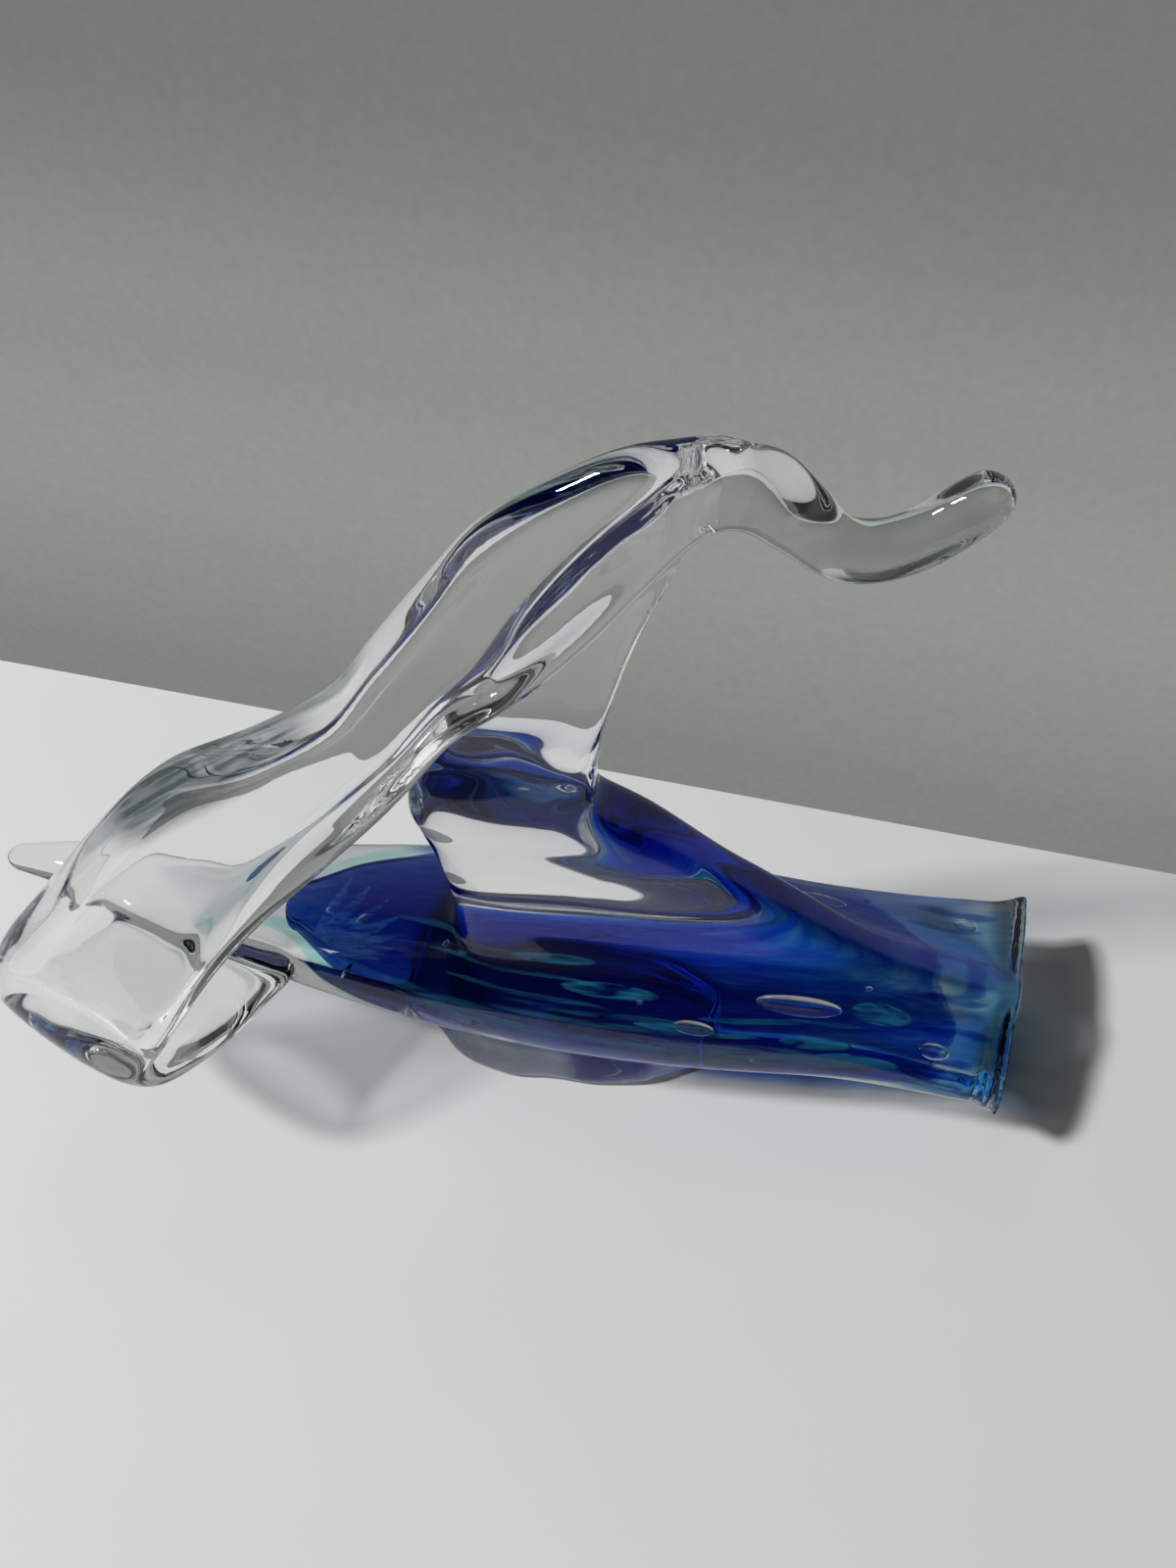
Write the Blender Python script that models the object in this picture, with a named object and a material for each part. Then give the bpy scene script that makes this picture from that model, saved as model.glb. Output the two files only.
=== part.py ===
"""Art glass sailboat, hot worked in solid glass.

A pale gather is dipped in cobalt, cased in clear glass and drawn out into a hull, whose stern is
pinched off to a crimped transom. The hull stands on a clear pressed foot. Two hot sails are drawn
onto it: an upright mainsail, and a jib that is a broad ribbon, folding out over the port bow and
coming back up to the masthead. There it runs on as a twisted pennant with a round end.

Metres, +Z up, the bow towards -X and port towards -Y. The origin is the centre of the foot's ground face.
"""

import math

import bmesh
import bpy
import numpy as np

# Hull, from the bow tip to the transom
HULL_LENGTH = 0.250
TRANSOM_X = 0.107
MIDSHIP_BEAM = 0.0546
QUARTER_BEAM = 0.0512
TRANSOM_BEAM = 0.0560
TRANSOM_LIP = 0.0022
BOW_DIAMETER = 0.0092
MIDSHIP_DEPTH = 0.0300
TRANSOM_DEPTH = 0.0175
BOW_RISE = 0.0128
TRANSOM_SKEW = 0.0095
SKEW_START = 0.80
CRIMP_DEPTH = 0.0008
CASING_WALL = 0.0030
HULL_SQUARENESS = 2.3
CORE_SQUARENESS = 2.2

# Pale heart of the core, inside a cup of cobalt: where its round nose starts and how long that is,
# and where the cup ends, as shares of the hull's length. The heart swells to the core's full size
# behind the cup, and runs on to the transom.
HEART_START = 0.560
HEART_NOSE = 0.120
CUP_END = 0.930
HEART_SWELL = 0.030

# Foot, pressed on under the hull
FOOT_HEIGHT = 0.0150
FOOT_LENGTH = 0.081
FOOT_WIDTH = 0.047
FOOT_EDGE_ROUND = 0.0032
FOOT_BITE = 0.0080
FOOT_SQUARENESS = 2.1
# The foot is fuller towards the bow, and tooled into lumps: how many, how deep, and where they start
FOOT_LEAN = 0.03
FOOT_LUMPS = ((5, 0.018, 0.7), (8, 0.012, 2.0))

# Aqua colour bits laid on the core under the casing: where each starts and ends as a share of the
# hull's length, which side it is on, and how high on the core's side it lies
STREAK_THICKNESS = 0.0032
STREAK_HEIGHT = 0.0070
STREAK_BLUNTNESS = 0.6
STREAK_TIP_SHARE = 0.012
STREAKS = {
    "aqua_streak_port": (0.235, 0.400, -1.0, 0.25),
    "aqua_streak_starboard": (0.250, 0.385, 1.0, 0.10),
}

# Mainsail
TACK_X = -0.0250
CLEW_SETBACK = 0.0040
WAIST_RISE = 0.0460
WAIST_WIDTH = 0.0410
WAIST_RAKE = 0.0100
SKIRT_TO_PORT = 0.0055
LUFF_PORT_SHARE = 0.7
BLADE_HOLLOW = 0.0068
BLADE_TO_STARBOARD = 0.0050
EDGE_TILT = 0.09
LUFF_THICKNESS = 0.0195
LEECH_THICKNESS = 0.0185
CLEW_THICKNESS = 0.0085
LEECH_FOCUS = 2.6
MAINSAIL_SQUARENESS = 3.6

# Masthead, where both sails and the pennant meet
MASTHEAD_X = 0.0255
MAST_RISE = 0.1325

# Jib
JIB_ROOT_X = -0.0880
JIB_WIDTH = 0.0410
JIB_THICKNESS = 0.0108
JIB_SWING = 0.0430
JIB_CAMBER = 0.0014
JIB_SQUARENESS = 2.25

# Pennant
PENNANT_REACH = 0.0475
PENNANT_DIP = 0.0190
PENNANT_TO_STARBOARD = 0.0116
PENNANT_DIAMETER = 0.0100
PENNANT_SQUARENESS = 2.1

# The jib and the pennant are as thick at one edge as at the other
EVEN_FOCUS = 1.0

# Glass colours, and the refraction of soda glass
CLEAR = (0.93, 0.96, 0.96)
COBALT = (0.01, 0.03, 0.45)
SLATE = (0.20, 0.42, 0.66)
AQUA = (0.35, 0.80, 0.74)
GLASS_IOR = 1.52

# Fits and mesh
SEAM_GAP = 0.0003
CUTTER_OVERRUN = 0.0030
CREASE_ANGLE = 45.0
HULL_SIDES = 32
SAIL_SIDES = 24
STREAK_SIDES = 10
HULL_RINGS = 27
CORE_RINGS = 22
HEART_RINGS = 16
HEART_NOSE_RINGS = 5
STREAK_RINGS = 12
MAINSAIL_RINGS = 30
JIB_RINGS = 48
PENNANT_RINGS = 26
CAP_RINGS = 3

BOW_X = TRANSOM_X - HULL_LENGTH
HULL_AXIS_HEIGHT = FOOT_HEIGHT + MIDSHIP_DEPTH / 2
DECK_HEIGHT = FOOT_HEIGHT + MIDSHIP_DEPTH
CLEW_X = TRANSOM_X - CLEW_SETBACK
BOOM_LENGTH = CLEW_X - TACK_X
MASTHEAD_HEIGHT = DECK_HEIGHT + MAST_RISE

# Hull stations: share of the length from the bow, beam, depth, share of the bow's rise
HULL_STATIONS = (
    (0.020, BOW_DIAMETER * 0.80, BOW_DIAMETER * 0.72, 1.00),
    (0.070, BOW_DIAMETER * 1.30, BOW_DIAMETER * 1.10, 0.96),
    (0.180, MIDSHIP_BEAM * 0.44, MIDSHIP_DEPTH * 0.52, 0.58),
    (0.290, MIDSHIP_BEAM * 0.65, MIDSHIP_DEPTH * 0.74, 0.20),
    (0.390, MIDSHIP_BEAM * 0.81, MIDSHIP_DEPTH * 0.87, 0.06),
    (0.500, MIDSHIP_BEAM * 0.93, MIDSHIP_DEPTH * 0.96, 0.01),
    (0.640, MIDSHIP_BEAM, MIDSHIP_DEPTH, 0.00),
    (0.740, MIDSHIP_BEAM * 0.985, MIDSHIP_DEPTH * 0.93, -0.01),
    (0.850, QUARTER_BEAM, (MIDSHIP_DEPTH + TRANSOM_DEPTH) / 2, -0.04),
    (0.940, (QUARTER_BEAM + TRANSOM_BEAM) / 2, TRANSOM_DEPTH * 1.10, -0.07),
    (0.980, TRANSOM_BEAM, TRANSOM_DEPTH, -0.08),
    (1.000, TRANSOM_BEAM + 2 * TRANSOM_LIP, TRANSOM_DEPTH + TRANSOM_LIP, -0.08),
)

# Core stations: share of the length, then shares of what the casing's wall leaves of beam and depth
CORE_STATIONS = (
    (0.300, 0.42, 0.34),
    (0.340, 0.70, 0.62),
    (0.400, 0.86, 0.84),
    (0.500, 0.95, 0.94),
    (0.640, 1.00, 1.00),
    (0.760, 0.98, 0.95),
    (0.840, 0.96, 0.90),
    (0.885, 0.94, 0.80),
    (0.930, 0.91, 0.66),
    (1.000, 0.88, 0.54),
)

# Cobalt cup round the heart: share of the hull's length, thickness of the cup's wall
CUP_WALLS = (
    (0.560, 0.0048),
    (0.660, 0.0040),
    (0.760, 0.0030),
    (0.840, 0.0022),
    (0.930, 0.0016),
)

# Skirt of the mainsail, from inside the hull up to the waist: share of the boom and share of the
# waist's rise at the luff, the same at the leech, share of the offset to port, shares of the
# leech and luff thickness
SKIRT_STATIONS = (
    (0.010, -0.42, 0.975, -0.34, 0.30, 0.00, 1.10),
    (0.000, -0.15, 1.000, -0.14, 0.50, 0.04, 1.12),
    (-0.010, 0.06, 0.925, -0.05, 0.46, 0.16, 1.09),
    (-0.024, 0.22, 0.785, 0.08, 0.24, 0.32, 1.09),
    (-0.036, 0.38, 0.645, 0.26, -0.02, 0.48, 1.11),
    (-0.048, 0.56, 0.503, 0.50, -0.20, 0.66, 1.10),
    (-0.068, 0.77, 0.368, 0.78, -0.22, 0.84, 1.05),
)

# Blade of the mainsail, from the waist to the masthead: share of the way up, share of the
# hollow forward of the straight mast line, share of the waist's width, share of the offset
# to starboard, shares of the luff and leech thickness
BLADE_STATIONS = (
    (0.000, 0.00, 1.00, 0.17, 0.95, 1.00),
    (0.100, 0.44, 0.94, 0.50, 0.70, 0.94),
    (0.220, 0.74, 0.86, 0.80, 0.46, 0.82),
    (0.370, 0.96, 0.78, 1.00, 0.46, 0.74),
    (0.530, 1.00, 0.66, 1.00, 0.45, 0.62),
    (0.690, 0.88, 0.53, 0.90, 0.43, 0.52),
    (0.830, 0.66, 0.36, 0.80, 0.38, 0.42),
    (0.920, 0.44, 0.20, 0.70, 0.28, 0.32),
)

# Jib, from inside the hull, out and round the fold, and up to the masthead: share of the run from
# the root to the masthead, share of the swing to port, share of the mast's rise above the deck,
# share of the width, the direction across the ribbon, shares of the thickness and camber
JIB_STATIONS = (
    (0.010, 0.00, -0.062, 1.04, (1.00, 0.00, -0.08), 0.75, 0.00),
    (-0.026, 0.20, -0.044, 0.86, (1.00, -0.12, -0.02), 0.90, 0.00),
    (0.008, 0.37, -0.046, 1.12, (1.00, -0.20, -0.03), 0.98, 0.00),
    (-0.026, 0.54, -0.050, 1.12, (1.00, -0.30, -0.04), 0.95, 0.00),
    (-0.086, 0.84, -0.048, 1.06, (1.00, -0.42, -0.02), 1.10, 0.36),
    (-0.138, 1.03, -0.012, 1.10, (1.00, -0.45, -0.02), 1.15, 0.57),
    (-0.150, 1.09, 0.052, 1.12, (1.00, -0.46, -0.06), 1.15, 0.71),
    (-0.104, 1.02, 0.124, 1.08, (1.00, -0.42, -0.20), 1.10, 0.71),
    (-0.012, 0.84, 0.222, 0.98, (1.00, -0.24, -0.38), 1.00, 0.86),
    (0.080, 0.68, 0.309, 0.95, (1.00, -0.20, -0.58), 1.00, 1.00),
    (0.230, 0.50, 0.429, 0.91, (1.00, -0.16, -0.66), 1.00, 0.86),
    (0.368, 0.42, 0.517, 0.74, (1.00, 0.00, -0.62), 1.05, 0.57),
    (0.470, 0.34, 0.586, 0.58, (1.00, -0.05, -1.05), 1.10, 0.43),
    (0.546, 0.27, 0.670, 0.60, (0.80, -0.06, -1.10), 1.05, 0.57),
    (0.638, 0.18, 0.744, 0.73, (0.60, -0.06, -1.05), 1.00, 0.71),
    (0.740, 0.12, 0.839, 0.74, (0.75, -0.04, -1.00), 0.95, 0.71),
    (0.836, 0.06, 0.915, 0.63, (0.75, -0.02, -1.05), 0.90, 0.43),
    (0.926, 0.02, 0.974, 0.47, (0.60, -0.05, -0.95), 0.90, 0.21),
    (1.000, 0.00, 0.999, 0.34, (0.42, -0.10, -0.95), 0.85, 0.00),
)

# Pennant, from the masthead: shares of the reach, of the dip below the masthead and of the offset
# to starboard, shares of the diameter across and through, turn of the band in degrees
PENNANT_STATIONS = (
    (-0.060, 0.00, -0.020, 0.60, 0.50, 20.0),
    (0.085, 0.13, 0.129, 1.30, 0.98, 10.0),
    (0.240, 0.49, 0.284, 1.38, 1.04, -15.0),
    (0.395, 0.84, 0.474, 1.24, 1.04, -60.0),
    (0.525, 0.975, 0.647, 1.08, 1.02, -90.0),
    (0.650, 0.95, 0.793, 1.00, 1.00, -90.0),
    (0.775, 0.77, 0.905, 0.98, 0.98, -90.0),
    (0.860, 0.59, 0.966, 0.97, 0.97, -90.0),
    (0.905, 0.49, 1.000, 0.92, 0.92, -90.0),
)


def unit(vector):
    """The vector at length one."""
    vector = np.asarray(vector, float)
    return vector / np.linalg.norm(vector)


def fair(table, keys):
    """Reads a table whose first column is its key, at the keys, along a smooth curve."""
    rows = np.array(table, float)
    at, values = rows[:, 0], rows[:, 1:]
    slopes = np.gradient(values, at, axis=0)
    out = []
    for key in keys:
        i = int(np.clip(np.searchsorted(at, key) - 1, 0, len(at) - 2))
        span = at[i + 1] - at[i]
        s = (key - at[i]) / span
        out.append(
            (1 + 2 * s) * (1 - s) ** 2 * values[i]
            + s * (1 - s) ** 2 * span * slopes[i]
            + s * s * (3 - 2 * s) * values[i + 1]
            - s * s * (1 - s) * span * slopes[i + 1]
        )
    return np.array(out)


def keyed_by_length(rows, centres):
    """Puts the running length along the centres before each row."""
    steps = np.linalg.norm(np.diff(np.array(centres), axis=0), axis=1)
    return [(length, *row) for length, row in zip(np.concatenate([[0.0], np.cumsum(steps)]), rows)]


def rounded(angle, power):
    """A point of a rounded outline one unit in radius: power 2 is a circle, more is squarer."""
    c, s = math.cos(angle), math.sin(angle)
    return (
        math.copysign(abs(c) ** (2 / power), c),
        math.copysign(abs(s) ** (2 / power), s),
    )


def dome(ring, centre, outward, height):
    """Rings that close a tube's end in a dome, and the dome's pole."""
    rings = []
    for step in range(1, CAP_RINGS + 1):
        turn = 0.5 * math.pi * step / (CAP_RINGS + 1)
        rings.append(centre + outward * height * math.sin(turn) + (ring - centre) * math.cos(turn))
    return rings, centre + outward * height


def body(name, rings, start_pole, end_pole, collection):
    """A closed body through rings of points, closed by a fan to a pole at each end."""
    mesh = bmesh.new()
    loops = [[mesh.verts.new(point) for point in ring] for ring in rings]
    count = len(loops[0])
    for lower, upper in zip(loops, loops[1:]):
        for i in range(count):
            j = (i + 1) % count
            mesh.faces.new((lower[i], lower[j], upper[j], upper[i]))
    first, last = mesh.verts.new(start_pole), mesh.verts.new(end_pole)
    for i in range(count):
        j = (i + 1) % count
        mesh.faces.new((loops[0][j], loops[0][i], first))
        mesh.faces.new((loops[-1][i], loops[-1][j], last))
    bmesh.ops.recalc_face_normals(mesh, faces=mesh.faces)
    data = bpy.data.meshes.new(name)
    mesh.to_mesh(data)
    mesh.free()
    data.shade_smooth()
    data.set_sharp_from_angle(angle=math.radians(CREASE_ANGLE))
    piece = bpy.data.objects.new(name, data)
    collection.objects.link(piece)
    return piece


def new_collection(name):
    """A collection linked to the scene."""
    collection = bpy.data.collections.new(name)
    bpy.context.scene.collection.children.link(collection)
    return collection


def glass(name, colour, roughness):
    """A Principled glass."""
    material = bpy.data.materials.new(name)
    material.use_nodes = True
    shader = material.node_tree.nodes["Principled BSDF"]
    shader.inputs["Base Color"].default_value = (*colour, 1.0)
    shader.inputs["Roughness"].default_value = roughness
    shader.inputs["Metallic"].default_value = 0.0
    shader.inputs["IOR"].default_value = GLASS_IOR
    shader.inputs["Transmission Weight"].default_value = 1.0
    material.diffuse_color = (*colour, 1.0)
    return material


def cut(piece, cutter):
    """Cuts the piece by the cutter, which is a body grown by the seam's gap."""
    modifier = piece.modifiers.new("cut_" + cutter.name, "BOOLEAN")
    modifier.operation = "DIFFERENCE"
    modifier.solver = "EXACT"
    modifier.object = cutter
    cutter.hide_render = True
    cutter.display_type = "WIRE"


def hull_section(share):
    """Half beam, half depth and height of the hull's axis, at a share of its length."""
    beam, depth, rise = fair(HULL_STATIONS, [share])[0]
    return beam / 2, depth / 2, HULL_AXIS_HEIGHT + rise * BOW_RISE


def hull_x(share, y):
    """Station of a point of the hull: the transom is cut askew, and the skew fades forward."""
    fade = max(0.0, (share - SKEW_START) / (1 - SKEW_START))
    return BOW_X + share * HULL_LENGTH + TRANSOM_SKEW * fade * y / TRANSOM_BEAM


def hull_ring(share, half_beam, half_depth, height, sides, power, crimp):
    """One section of the hull or of what lies inside it."""
    points = []
    for i in range(sides):
        across, up = rounded(2 * math.pi * i / sides, power)
        swell = 1.0 + (crimp / half_depth if i % 2 else 0.0)
        y = across * half_beam
        points.append((hull_x(share, y), y, height + up * half_depth * swell))
    return np.array(points)


def hull_body(name, grow, collection):
    """The hull's outer form, grown evenly by a gap where it is used as a cutter."""
    shares = np.concatenate([np.linspace(0.02, 0.94, HULL_RINGS), [0.965, 0.985, 1.0]])
    rings = []
    for share in shares:
        half_beam, half_depth, height = hull_section(share)
        crimp = CRIMP_DEPTH if share == 1.0 else 0.0
        half_beam, half_depth = half_beam + grow, half_depth + grow
        rings.append(hull_ring(share, half_beam, half_depth, height, HULL_SIDES, HULL_SQUARENESS, crimp))
    rings[-1][:, 0] += grow
    tip_length = HULL_STATIONS[0][0] * HULL_LENGTH + grow
    tip, pole = dome(rings[0], rings[0].mean(axis=0), np.array((-1.0, 0.0, 0.0)), tip_length)
    return body(name, tip[::-1] + rings, pole, rings[-1].mean(axis=0), collection)


def core_section(share):
    """Half beam, half depth and height of the core, inside the casing's wall."""
    half_beam, half_depth, height = hull_section(share)
    across, through = fair(CORE_STATIONS, [share])[0]
    return across * (half_beam - CASING_WALL), through * (half_depth - CASING_WALL), height


def core_ring(share, grow, size=1.0):
    """One section of the core, grown evenly by a gap, and drawn in by a size in its round nose."""
    half_beam, half_depth, height = core_section(share)
    half_beam, half_depth = (half_beam + grow) * size, (half_depth + grow) * size
    return hull_ring(share, half_beam, half_depth, height, SAIL_SIDES, CORE_SQUARENESS, 0.0)


def core_bow(grow):
    """Rings and pole of the dome that closes the core's bow end."""
    share = CORE_STATIONS[0][0]
    ring = core_ring(share, grow)
    blunt = core_section(share)[0] + grow
    tip, pole = dome(ring, ring.mean(axis=0), np.array((-1.0, 0.0, 0.0)), blunt)
    return tip[::-1], pole


def core_rings(grow):
    """Rings of the core's outer form, from its bow end to the aft edge of the cobalt cup."""
    return [core_ring(share, grow) for share in np.linspace(CORE_STATIONS[0][0], CUP_END, CORE_RINGS)]


def tail_rings(grow, overrun):
    """The core's last two rings: the aft one is moved along the tail's slope by an overrun."""
    fore, aft = core_ring(CUP_END + HEART_SWELL, grow), core_ring(1.0, grow)
    tail_length = (1.0 - CUP_END - HEART_SWELL) * HULL_LENGTH
    return [fore, aft + (aft - fore) * overrun / tail_length]


def core_space_body(collection):
    """The space that the whole core takes up in the casing, open past the transom's cut face."""
    rings = core_rings(SEAM_GAP) + tail_rings(SEAM_GAP, CUTTER_OVERRUN)
    tip, pole = core_bow(SEAM_GAP)
    return body("core_space", tip + rings, pole, rings[-1].mean(axis=0), collection)


def heart_rings(grow):
    """Rings of the heart inside the cobalt cup, from its round nose to the cup's aft edge."""
    rings = []
    for step in range(1, HEART_NOSE_RINGS + 1):
        turn = 0.5 * math.pi * step / HEART_NOSE_RINGS
        share = HEART_START + HEART_NOSE * (1 - math.cos(turn))
        wall = fair(CUP_WALLS, [share])[0][0]
        ring = core_ring(share, grow - wall, math.sin(turn))
        ring[:, 0] -= grow * math.cos(turn)
        rings.append(ring)
    for share in np.linspace(HEART_START + HEART_NOSE, CUP_END, HEART_RINGS)[1:]:
        wall = fair(CUP_WALLS, [share])[0][0]
        rings.append(core_ring(share, grow - wall))
    return rings


def core_body(collection):
    """The cobalt: solid in the bow, and from amidships a cup round the heart, open at its aft edge."""
    hollow = heart_rings(SEAM_GAP)[::-1]
    tip, pole = core_bow(0.0)
    hollow_end = (hull_x(HEART_START, 0.0) - SEAM_GAP, 0.0, core_section(HEART_START)[2])
    return body("hull_core", tip + core_rings(0.0) + hollow, pole, hollow_end, collection)


def heart_body(collection):
    """The pale heart: it fills the cup, swells behind it, and reaches the cut face of the transom."""
    rings = heart_rings(0.0)
    last_wall = CUP_WALLS[-1][1]
    rings.append(core_ring(CUP_END + SEAM_GAP / HULL_LENGTH, -last_wall))
    # The heart stops just short of the cut face
    rings += tail_rings(0.0, -SEAM_GAP)
    nose = (hull_x(HEART_START, 0.0), 0.0, core_section(HEART_START)[2])
    return body("core_heart", rings, nose, rings[-1].mean(axis=0), collection)


def streak_body(name, grow, collection, start, end, side, lift):
    """A bit of colour laid along the core's side, from one share of the length to another."""
    shares = np.linspace(start, end, STREAK_RINGS)
    half_thickness = STREAK_THICKNESS / 2
    rings = []
    for share in shares:
        half_beam, _, height = core_section(share)
        along = (share - start + STREAK_TIP_SHARE) / (end - start + 2 * STREAK_TIP_SHARE)
        fade = math.sin(math.pi * along) ** STREAK_BLUNTNESS
        y = side * (half_beam * math.sqrt(1 - lift * lift) + SEAM_GAP + half_thickness)
        z = height + lift * core_section(share)[1]
        ring = []
        for i in range(STREAK_SIDES):
            across, up = rounded(2 * math.pi * i / STREAK_SIDES, 2.0)
            ring.append((
                hull_x(share, y),
                y + across * (half_thickness * fade + grow),
                z + up * (STREAK_HEIGHT / 2 * fade + grow),
            ))
        rings.append(np.array(ring))
    caps = []
    for ring, facing in ((rings[0], -1.0), (rings[-1], 1.0)):
        outward = np.array((facing, 0.0, 0.0))
        caps.append(dome(ring, ring.mean(axis=0), outward, half_thickness + grow))
    (bow_rings, bow_pole), (stern_rings, stern_pole) = caps
    return body(name, bow_rings[::-1] + rings + stern_rings, bow_pole, stern_pole, collection)


def foot_body(name, collection):
    """The pressed foot: a lumpy oval pad, ground flat below."""
    bulge = FOOT_HEIGHT * 0.30
    top = FOOT_HEIGHT + FOOT_BITE
    levels = (
        (0.0, -FOOT_EDGE_ROUND),
        (0.10 * bulge, -0.55 * FOOT_EDGE_ROUND),
        (0.45 * bulge, -0.12 * FOOT_EDGE_ROUND),
        (bulge, 0.0),
        (0.50 * top, -0.70 * FOOT_EDGE_ROUND),
        (0.72 * top, -2.00 * FOOT_EDGE_ROUND),
        (top, -3.60 * FOOT_EDGE_ROUND),
    )
    rings = []
    for height, inset in levels:
        ring = []
        for i in range(HULL_SIDES):
            angle = 2 * math.pi * i / HULL_SIDES
            across, along = rounded(angle, FOOT_SQUARENESS)
            lump = 1 - FOOT_LEAN * along
            for count, depth, start in FOOT_LUMPS:
                lump += depth * math.cos(count * angle + start)
            x = along * (FOOT_LENGTH / 2 + inset) * lump
            y = across * (FOOT_WIDTH / 2 + inset) * lump
            ring.append((x, y, height))
        rings.append(np.array(ring))
    return body(name, rings, (0.0, 0.0, 0.0), (0.0, 0.0, top), collection)


def ribbon_ring(fore, aft, tangent, fore_thickness, aft_thickness, camber, grow, power, focus):
    """One section of a sail, from its fore edge to its aft edge."""
    middle, half_span = (fore + aft) / 2, (aft - fore) / 2
    reach = np.linalg.norm(half_span)
    across = half_span / reach
    through = unit(np.cross(tangent, across))
    points = []
    for i in range(SAIL_SIDES):
        c, s = rounded(2 * math.pi * i / SAIL_SIDES, power)
        thickness = fore_thickness + (aft_thickness - fore_thickness) * ((c + 1) / 2) ** focus
        points.append(
            middle
            + across * c * (reach + grow)
            + through * (s * (thickness / 2 + grow) + camber * (1 - c * c))
        )
    return np.array(points)


def sail_body(name, rows, rings, power, focus, grow, collection):
    """A sail lofted through rows of a fore edge, an aft edge, two thicknesses and a camber.

    The more the focus, the closer to the aft edge the thickness goes from the fore one to the aft one.
    """
    centres = [(np.array(row[0:3]) + np.array(row[3:6])) / 2 for row in rows]
    table = keyed_by_length(rows, centres)
    keys = np.linspace(0.0, table[-1][0], rings)
    read = fair(table, keys)
    middles = (read[:, 0:3] + read[:, 3:6]) / 2
    tangents = np.gradient(middles, keys, axis=0)
    loops = [
        ribbon_ring(row[0:3], row[3:6], tangent, row[6], row[7], row[8], grow, power, focus)
        for row, tangent in zip(read, tangents)
    ]
    start, start_pole = dome(loops[0], middles[0], -unit(tangents[0]), read[0][6] / 2 + grow)
    end, end_pole = dome(loops[-1], middles[-1], unit(tangents[-1]), read[-1][6] / 2 + grow)
    return body(name, start[::-1] + loops + end, start_pole, end_pole, collection)


def mainsail_rows():
    """Edges and thicknesses of the mainsail, skirt first."""
    rows = []
    for luff_run, luff_rise, leech_run, leech_rise, offset, swell, luff_share in SKIRT_STATIONS:
        port = offset * SKIRT_TO_PORT
        leech_thickness = CLEW_THICKNESS + swell * (LEECH_THICKNESS - CLEW_THICKNESS)
        rows.append((
            TACK_X + luff_run * BOOM_LENGTH, -LUFF_PORT_SHARE * port, DECK_HEIGHT + luff_rise * WAIST_RISE,
            TACK_X + leech_run * BOOM_LENGTH, -port, DECK_HEIGHT + leech_rise * WAIST_RISE,
            LUFF_THICKNESS * luff_share, leech_thickness, 0.0,
        ))
    waist_x = TACK_X - WAIST_RAKE + WAIST_WIDTH / 2
    waist_height = DECK_HEIGHT + WAIST_RISE
    for up, hollow, width, offset, luff_share, leech_share in BLADE_STATIONS:
        middle_x = waist_x + up * (MASTHEAD_X - waist_x) - hollow * BLADE_HOLLOW
        starboard = offset * BLADE_TO_STARBOARD
        middle_z = waist_height + up * (MASTHEAD_HEIGHT - waist_height)
        half = width * WAIST_WIDTH / 2
        tilt = EDGE_TILT * half * (1 + up)
        rows.append((
            middle_x - half, starboard, middle_z - tilt,
            middle_x + half, starboard, middle_z + tilt,
            LUFF_THICKNESS * luff_share, LEECH_THICKNESS * leech_share, 0.0,
        ))
    return rows


def jib_rows():
    """Edges and thicknesses of the jib, from its root in the bow."""
    rows = []
    for run, swing, rise, width, across, thickness, camber in JIB_STATIONS:
        middle = np.array((
            JIB_ROOT_X + run * (MASTHEAD_X - JIB_ROOT_X),
            -swing * JIB_SWING,
            DECK_HEIGHT + rise * MAST_RISE,
        ))
        half_span = unit(across) * width * JIB_WIDTH / 2
        thick = thickness * JIB_THICKNESS
        rows.append((*(middle - half_span), *(middle + half_span), thick, thick, camber * JIB_CAMBER))
    return rows


def pennant_rows():
    """Edges and thicknesses of the pennant, from the masthead."""
    middles, widths = [], []
    for reach, dip, offset, across, through, turn in PENNANT_STATIONS:
        middles.append(np.array((
            MASTHEAD_X + reach * PENNANT_REACH,
            offset * PENNANT_TO_STARBOARD,
            MASTHEAD_HEIGHT - dip * PENNANT_DIP,
        )))
        widths.append((across * PENNANT_DIAMETER / 2, through * PENNANT_DIAMETER, math.radians(turn)))
    tangents = np.gradient(np.array(middles), axis=0)
    rows = []
    for middle, tangent, (half, thick, turn) in zip(middles, tangents, widths):
        level = unit(np.cross(tangent, (0.0, 1.0, 0.0)))
        side = unit(np.cross(tangent, level))
        half_span = half * (math.cos(turn) * level + math.sin(turn) * side)
        rows.append((*(middle - half_span), *(middle + half_span), thick, thick, 0.0))
    return rows


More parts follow.
